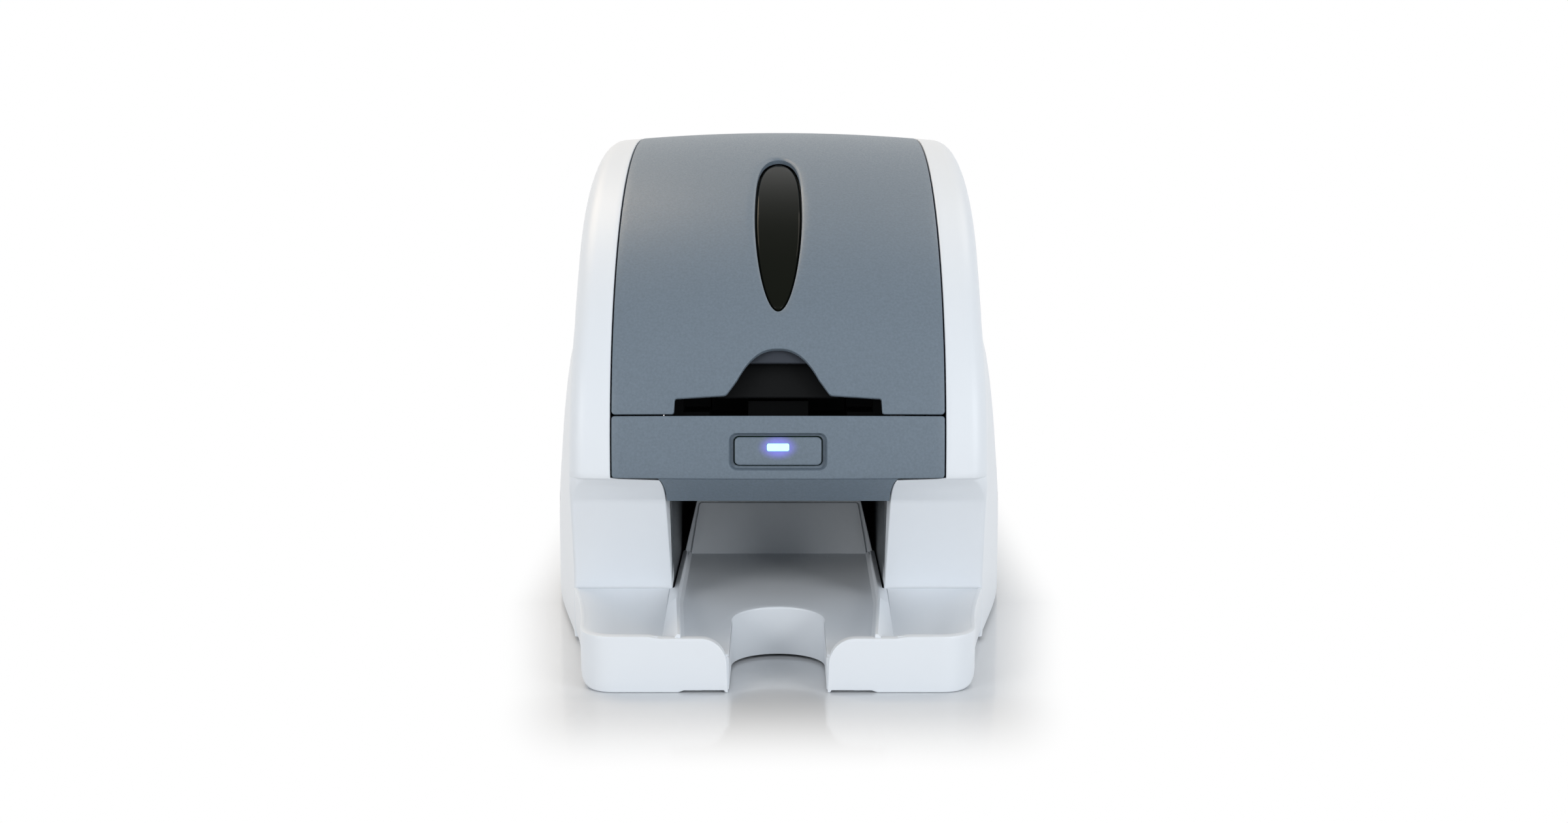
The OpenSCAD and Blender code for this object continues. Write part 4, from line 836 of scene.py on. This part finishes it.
def cover_grid(inset):
    """The right cover's skin as a grid of rows, with its hub last, inset by the given depth."""
    verts, columns = [], 0
    for (y, z), (ny, nz), edge_x, fillet, crowned, back in cover_rows():
        p, n = np.array([y, z]), np.array([ny, nz])
        r = max(fillet - inset, 0.3)
        e = p + (r + inset) * n
        x_end = float(flank_x(e[0], e[1])) - inset

        def at(x, d):
            q = p + n * (d + inset + crowned * crown(min(x, x_end - r)))
            return (x, q[0], q[1])

        line = []
        if not inset:
            line.append(at(edge_x - RETURN_LEAN * (back - WALL) / RETURN_MAX, back))
            line.append(at(edge_x, EDGE_R))
            line.extend(at(edge_x + EDGE_R * (1 - cos), EDGE_R * (1 - sin)) for cos, sin in turn((30, 60)))
            start = edge_x + EDGE_R
        else:      # as many points as the outer skin has up to its start
            line.extend(at(edge_x + x, 0) for x in (1.0, 1.1, 1.2, 1.3))
            start = edge_x + 1.4
        flat_end = max(x_end - r, start + 0.2)
        for k in np.linspace(0, 1, 6):
            line.append(at(start + (flat_end - start) * k, 0))
        base = at(flat_end, 0)
        for cos, sin in turn(np.linspace(0, 90, 11)[1:]):
            q = np.array([base[1], base[2]]) + n * (r * (1 - cos))
            line.append((flat_end + (x_end - flat_end) * sin, q[0], q[1]))
        edge = np.array(line[-1][1:])
        for k in np.linspace(0, 1, 20)[1:-1] ** 1.15:
            q = edge + k * (FLANK_HUB - edge)
            line.append((float(flank_x(q[0], q[1])) - inset, q[0], q[1]))
        columns = len(line)
        verts.extend(line)
    verts.append((float(flank_x(*FLANK_HUB)) - inset, FLANK_HUB[0], FLANK_HUB[1]))
    return verts, columns


def side_cover_shell():
    outer, columns = cover_grid(0.0)
    inner, _ = cover_grid(WALL)
    base, rows = len(outer), (len(outer) - 1) // columns
    grid = grid_faces(rows, columns, close_rows=True)
    steps = [(i * columns, ((i + 1) % rows) * columns) for i in range(rows)]
    grid += [(a + columns - 1, base - 1, b + columns - 1) for a, b in steps]
    rim = [(a, b, base + b, base + a) for a, b in steps]
    # The grid runs from the inner edge outwards, so the outer skin's faces point inwards until flipped.
    return outer + inner, flipped(grid) + [tuple(base + k for k in face) for face in grid] + rim


def side_covers():
    right = side_cover_shell()
    for side, shell in (("right", right), ("left", mirrored(right))):
        make_object(side + "_cover_skin", *shell, WHITE, "chassis", [side + "_side_cover"], "cover_white",
                    sharp=40)


# ---- Output hopper ----

SIDE_POINTS, CORNER_POINTS = 22, 15


def hopper_outline(d):
    """Right half of the hopper's plan, inset by d, from the parting line to the mouth."""
    side = np.linspace(PARTING_Y - SEAM, FRONT_Y + HOPPER_R, SIDE_POINTS)
    points = [(float(plan_x(y)) - d, y) for y in side]
    x_corner = float(plan_x(FRONT_Y + HOPPER_R)) - HOPPER_R
    points += [(x_corner + (HOPPER_R - d) * cos, FRONT_Y + HOPPER_R - (HOPPER_R - d) * sin)
               for cos, sin in turn(np.linspace(0, 90, CORNER_POINTS + 1)[1:])]
    return points + [(x, FRONT_Y + d) for x in np.linspace(x_corner, MOUTH_HALF + MOUTH_R, 16)[1:]]


def wall_bottom(x):
    """Height of the hopper wall's lower edge: low outside, raised beside the mouth, lowest at its side."""
    raised = smooth((36.2 - x) / 0.6)
    lip = smooth((20.6 - x) / 0.5)
    return 0.1 + 0.8 * raised - 0.85 * lip


def rim_dip(x, y):
    """How much lower than the hopper's sides its rim is at the front, and lower again beside the mouth."""
    return RIM_DIP * float(smooth((FRONT_Y + 16 - y) / 14)) + RIM_STEP * float(smooth((48 - abs(x)) / 5))


def outer_wall():
    """Right half of the hopper's outer wall as a closed sweep round the plan."""
    path = hopper_outline(0)
    rings = []
    for i, p in enumerate(path):
        n = normal_at(path, i)
        side = smooth((p[1] - FRONT_Y) / HOPPER_R)
        share = 1 - rim_dip(p[0] if p[1] < FRONT_Y + 1 else FAR_OUT, p[1]) / HOPPER_H
        section = wall_section(0.5 + 4.5 * side, wall_bottom(p[0]), FRONT_THICK * (1 - side))
        rings.append([(p[0] + n[0] * d, p[1] + n[1] * d, z * share) for d, z in section])
    # The front wall ends at the rounded mouth.
    x_from = MOUTH_HALF + MOUTH_R
    for a in np.linspace(0, math.pi / 2, 22)[1:]:
        ring = []
        for d, z in wall_section(0.5, 0.0, FRONT_THICK):
            low = wall_bottom(x_from - MOUTH_R * math.sin(a))
            top = HOPPER_H - rim_dip(x_from, FRONT_Y) - MOUTH_R * (1 - math.cos(a))
            height = low + z / HOPPER_H * (top - low)
            x = x_from + (MOUTH_HALF - MOUTH_DRAFT * (1 - height / HOPPER_H) - x_from) * math.sin(a)
            ring.append((x, FRONT_Y + d, height))
        rings.append(ring)
    verts, faces = swept(rings)
    return verts, flipped(faces)


def wall_section(bottom_r, low, thicker):
    """The wall's section as (depth, height) points, from the outer foot over the rim to the inner foot."""
    rim = RIM_THICK + thicker
    foot = turn(np.linspace(90, 0, 7))
    section = [(bottom_r * (1 - cos) + 0.3, low + bottom_r * (1 - sin)) for cos, sin in foot]
    low_z = max(bottom_r + low, 3.0)
    section += [(0.25 * (1 - k), low_z + (HOPPER_H - 0.35 - low_z) * k) for k in np.linspace(0, 1, 16)[1:]]
    section += [(0.1, HOPPER_H - 0.1), (0.4, HOPPER_H), (rim - 0.4, HOPPER_H), (rim - 0.1, HOPPER_H - 0.1)]
    section += [(rim + 0.9 * k, HOPPER_H - 0.35 - (HOPPER_H - 0.35 - low - 2) * k)
                for k in np.linspace(0, 1, 12)]
    section.append((rim + 0.9, low))
    return section


def pocket_depth(y):
    """Depth of the scooped pocket below the rim: none at the cheeks, full at the front."""
    t = (PARTING_Y - SEAM - y) / (PARTING_Y - SEAM - FRONT_Y - 3)
    return (HOPPER_H - POCKET_Z) * math.sin(math.pi / 2 * min(max(t, 0), 1)) ** 1.15


def pocket():
    """The scooped floor beside the bay and the sloping outer face of the bay's wall."""
    inset = 1.5
    plan = hopper_outline(inset)
    outline = plan[:SIDE_POINTS + CORNER_POINTS + 1]
    front = FRONT_Y + inset
    loop = np.array(outline + [(x, front) for x in np.linspace(outline[-1][0], LEDGE_X, 10)[1:]]
                    + [(LEDGE_X, y) for y in np.linspace(front, PARTING_Y - SEAM, 30)[1:]]
                    + [(x, PARTING_Y - SEAM) for x in np.linspace(LEDGE_X, outline[0][0], 14)[1:-1]])
    loop = loop[::-1] if polygon_area(loop) < 0 else loop
    wall_line = resample(plan, 2.0, closed=False)
    wall_line = np.concatenate([wall_line, wall_line[::-1]])

    def depth(points):
        gap = distance(points, wall_line)
        deep = np.array([pocket_depth(y) for y in points[:, 1]])
        dip = np.array([rim_dip(FAR_OUT, y) for y in points[:, 1]])
        return 0.2 + dip + deep * smooth((gap - 0.4) / SCOOP) ** 0.8

    def place(x, y, d):
        return (x, y, HOPPER_H - d)

    return patch(loop, [], [offset(loop, 1.2)], 2.0, depth, place, lambda p: depth(p) + 2.0)


def polygon_area(loop):
    """Positive for a counter-clockwise loop."""
    x, y = loop[:, 0], loop[:, 1]
    return 0.5 * float(np.sum(x * np.roll(y, -1) - np.roll(x, -1) * y))


def bay_edge(y):
    """Half width of the bay at its top."""
    t = np.clip((y - FRONT_Y - 2.5) / (PARTING_Y - 7 - FRONT_Y - 2.5), 0, 1)
    return BAY_FRONT_HALF + (BAY_HALF - BAY_FRONT_HALF) * float(t)


def floor_z(y):
    """Height of the bay's floor, which rises towards the rear."""
    return FLOOR_Z + FLOOR_RISE * (y - FRONT_Y) / (HOPPER_END_Y - FRONT_Y)


def bay_wall():
    """Right wall of the bay: a straight inner face, a thin top and an outer face down to the pocket."""
    stations = [*np.linspace(FRONT_Y + 1.5, PARTING_Y - SEAM, 34),
                *np.linspace(PARTING_Y + 2, HOPPER_END_Y, 10)]
    rings = []
    for y in stations:
        inner = bay_edge(y)
        drop, outer, low = 0.6, BAY_OUTER, 7.0
        corner_z = HOPPER_H - 0.6
        fz = floor_z(y)
        if y < PARTING_Y:
            drop += pocket_depth(y)
            outer, low = LEDGE_X + 0.3, BASE_Z + 0.5
            corner_z = fz + 1.8
        rings.append([
            (inner - 2.2, y, fz - 1.6), (inner - 1.7, y, fz + 0.05), (inner - 0.4, y, fz + 0.75),
            (inner, y, corner_z), (inner, y, HOPPER_H - 0.35), (inner + 0.35, y, HOPPER_H),
            (min(inner + 1.1, outer - 0.6), y, HOPPER_H - 0.02), (outer, y, HOPPER_H - drop),
            (outer, y, low), (inner - 3.0, y, low)])
    return swept(rings)


def notch_arc(z, count=41):
    """Points round the notch's back at height z; its wall leans back."""
    y0 = NOTCH_Y + NOTCH_LEAN * (z - BASE_Z)
    return [(NOTCH_R * math.cos(a), y0 + NOTCH_R * math.sin(a)) for a in np.linspace(0, math.pi, count)]


NOTCH_TOP_Z = floor_z(NOTCH_Y + NOTCH_R)


def bay_floor():
    """The sloping floor of the bay with the finger notch cut into its front."""
    y0, y1 = FRONT_Y + 2.2, HOPPER_END_Y - 1.5
    right = [(bay_edge(y) - 0.2, y) for y in np.linspace(y0, y1, 30)]
    left = [(-x, y) for x, y in reversed(right)]
    notch = notch_arc(NOTCH_TOP_Z)
    mouth = [(-NOTCH_R, y0)] + notch[::-1] + [(NOTCH_R, y0)]
    loop = resample(left + mouth + right, 2.2)
    loop = loop[::-1] if polygon_area(loop) < 0 else loop
    edge = resample(mouth, 1.0, closed=False)

    def depth(points):
        apart = points[:, None, :] - edge[None, :, :]
        return edge_drop(np.min(np.hypot(apart[..., 0], apart[..., 1]), axis=1), 0.8)

    def place(x, y, d):
        return (x, y, floor_z(y) - d)

    return patch(loop, [], [offset(loop, 0.3), offset(loop, 0.8)], 2.6, depth, place, even(2.0))


def notch_wall():
    """The half-round wall of the finger notch, leaning back, with its straight sides."""
    thick = 1.4
    low, front = 1.2, FRONT_Y + 1.0

    def path(z):
        arc = notch_arc(z)
        sides = [(NOTCH_R, front + (arc[0][1] - front) * k) for k in np.linspace(0, 1, 12)[:-1]]
        return sides + arc + [(-x, y) for x, y in reversed(sides)]

    upper, lower = path(NOTCH_TOP_Z), path(low)
    rings = []
    for i, ((x1, y1), (x0, y0)) in enumerate(zip(upper, lower)):
        nx, ny = normal_at(upper, i) * thick
        top = floor_z(y1) - 0.75
        rings.append([(x1, y1, top), (x1 + nx, y1 + ny, top), (x0 + nx, y0 + ny, low), (x0, y0, low)])
    verts, faces = swept(rings)
    return verts, flipped(faces)


def back_wall():
    """The hopper's rear wall with its raised inner panel."""
    z0 = floor_z(HOPPER_END_Y) - 3

    def slab(half_low, half_high, z1, y0, y1, r):
        loop = trapezoid(half_low, half_high, z0, z1, 0, r, 2.5)

        def place(x, z, d):
            return (x, y0 + d, z)

        return patch(loop, [], [offset(loop, 0.2), offset(loop, 0.5)], 4.0,
                     lambda p: edge_drop(distance(p, loop), 0.5), place, even(y1 - y0))

    return joined([
        slab(BAY_OUTER, BAY_HALF - 4.0, BACK_WALL_Z, HOPPER_END_Y - 2.2, HOPPER_END_Y, 2.0),
        slab(BAY_HALF - 0.7, BAY_HALF - 5.1, BACK_WALL_Z - 1.2, HOPPER_END_Y - 3.2, HOPPER_END_Y - 1.8, 1.5)])


def hopper():
    half = [outer_wall(), pocket(), bay_wall()]
    parts = half + [mirrored(part) for part in half] + [bay_floor(), notch_wall()]
    make_object("hopper_tray", *joined(parts), WHITE, "hopper", ["output_hopper"], "cover_white", sharp=38)
    make_object("hopper_rear_wall", *back_wall(), WHITE, "hopper", ["hopper_back_wall"], "cover_white")


# ---- Stage, lights and camera ----

FLOOR_COLOR = (0.655, 0.67, 0.69, 1)
FLOOR_CENTRE_X = 2.5
FOOTPRINT_TAPER = (-195.0, -55.0, 70.0, 90.0)   # from and to y, and the half width there, of the darker floor
FOOTPRINT_LENGTH = 198.0
FLOOR_FADE = 88.0
SIDE_FADE = 2.55
WORLD_COLOR = (0.36, 0.385, 0.41, 1)
PURE_WHITE = (1, 1, 1, 1)


def background_ray(tree):
    """1 for the rays that see the white background: the camera's, reflected and transmitted ones."""
    ray = add_node(tree, "LightPath")
    value = ray.outputs["Is Camera Ray"]
    for kind in ("Is Glossy Ray", "Is Transmission Ray"):
        value = add_node(tree, "Math", {0: value, 1: ray.outputs[kind]}, operation="MAXIMUM").outputs[0]
    return value


def stage():
    """A white floor, slightly darker and shiny close to the object, where it keeps its shadow."""
    bpy.ops.mesh.primitive_plane_add(size=12.0, location=(0, 0, 0))
    floor = bpy.context.object
    floor.name = "studio_floor"
    material, tree, shader = node_material("studio_white")
    set_inputs(tree, shader, {"Base Color": FLOOR_COLOR, "Roughness": 0.10, "Specular IOR Level": 0.5})
    # Distance from the object's footprint, a rounded box that tapers to the front.
    place = vector_math(tree, "SUBTRACT", object_place(tree), (FLOOR_CENTRE_X * MM, 0, 0))
    along = add_node(tree, "SeparateXYZ", {0: place}).outputs["Y"]
    half_width = map_range(tree, along, *(value * MM for value in FOOTPRINT_TAPER))
    half_size = add_node(tree, "CombineXYZ", {"X": half_width, "Y": FOOTPRINT_LENGTH * MM}).outputs[0]
    beyond = vector_math(tree, "SUBTRACT", vector_math(tree, "ABSOLUTE", place), half_size)
    beyond = vector_math(tree, "MAXIMUM", beyond, (0, 0, 0))
    # The side shadows are narrower than the one in front.
    beyond = vector_math(tree, "MULTIPLY", beyond, (SIDE_FADE, 1.0, 1.0))
    far = vector_math(tree, "LENGTH", beyond, output="Value")
    fade = map_range(tree, far, 0.0, FLOOR_FADE * MM, 0.0, 1.0, "SMOOTHSTEP")
    shown = add_node(tree, "Math", {0: background_ray(tree), 1: fade}, operation="MULTIPLY")
    glow = add_node(tree, "Emission", {"Color": PURE_WHITE})
    mix = add_node(tree, "MixShader", {0: shown.outputs[0], 1: shader.outputs[0], 2: glow.outputs[0]})
    tree.links.new(mix.outputs[0], tree.nodes["Material Output"].inputs["Surface"])
    floor.data.materials.append(material)


def world():
    """Soft surroundings; the camera and reflections see white."""
    scene_world = bpy.data.worlds.new("studio")
    bpy.context.scene.world = scene_world
    scene_world.use_nodes = True
    tree = scene_world.node_tree
    # Sockets 6 and 7 and output 2 are the mix node's colours.
    tint = add_node(tree, "Mix", {0: background_ray(tree), 6: WORLD_COLOR, 7: PURE_WHITE}, data_type="RGBA")
    set_inputs(tree, tree.nodes["Background"], {"Color": tint.outputs[2], "Strength": 1.0})


BACK_AIM, FRONT_AIM = (0, -0.02, 0.12), (0, -0.1, 0.08)
LIGHTS = [   # name, place, aim, size, watts, colour
    ("back_left", (-0.65, 0.65, 1.35), BACK_AIM, (0.8, 0.8), 9.5, (1.0, 0.81, 0.60)),
    ("back_right", (0.75, 0.5, 1.3), BACK_AIM, (0.7, 0.7), 4.2, (1.0, 0.90, 0.78)),
    ("top_front", (0, -1.05, 1.25), FRONT_AIM, (1.3, 0.7), 1.8, (1.0, 1.0, 1.0)),
    ("front_left", (-1.25, -1.25, 0.45), FRONT_AIM, (0.8, 0.8), 11.5, (1.0, 0.99, 0.98)),
    ("front_right", (1.25, -1.25, 0.45), FRONT_AIM, (0.8, 0.8), 13.5, (0.97, 0.985, 1.0)),
]


def lights():
    for name, place, aim, size, power, color in LIGHTS:
        data = bpy.data.lights.new(name, "AREA")
        data.energy = power
        data.color = color
        data.shape = "RECTANGLE"
        data.size, data.size_y = size
        light = bpy.data.objects.new(name, data)
        bpy.context.scene.collection.objects.link(light)
        light.location = place
        light.rotation_euler = (Vector(aim) - Vector(place)).to_track_quat("-Z", "Y").to_euler()


CAMERA_PLACE = (2.3 * MM, -884.1 * MM, 202.3 * MM)
CAMERA_PITCH = 8.05     # degrees below level
FOCAL, SENSOR = 44.3, 36.0


def camera():
    data = bpy.data.cameras.new("camera")
    data.lens = FOCAL
    data.sensor_width = SENSOR
    data.sensor_fit = "HORIZONTAL"
    data.clip_start = 0.01
    cam = bpy.data.objects.new("camera", data)
    bpy.context.scene.collection.objects.link(cam)
    cam.location = CAMERA_PLACE
    cam.rotation_euler = (math.radians(90 - CAMERA_PITCH), 0, 0)
    bpy.context.scene.camera = cam
    bpy.context.scene.view_settings.view_transform = "Standard"


camera()
world()
lights()
stage()
dress_cad_nodes()
lid()
slot_shade_sheets()
lid_window()
front_panel()
button()
rear_cover()
side_covers()
hopper()
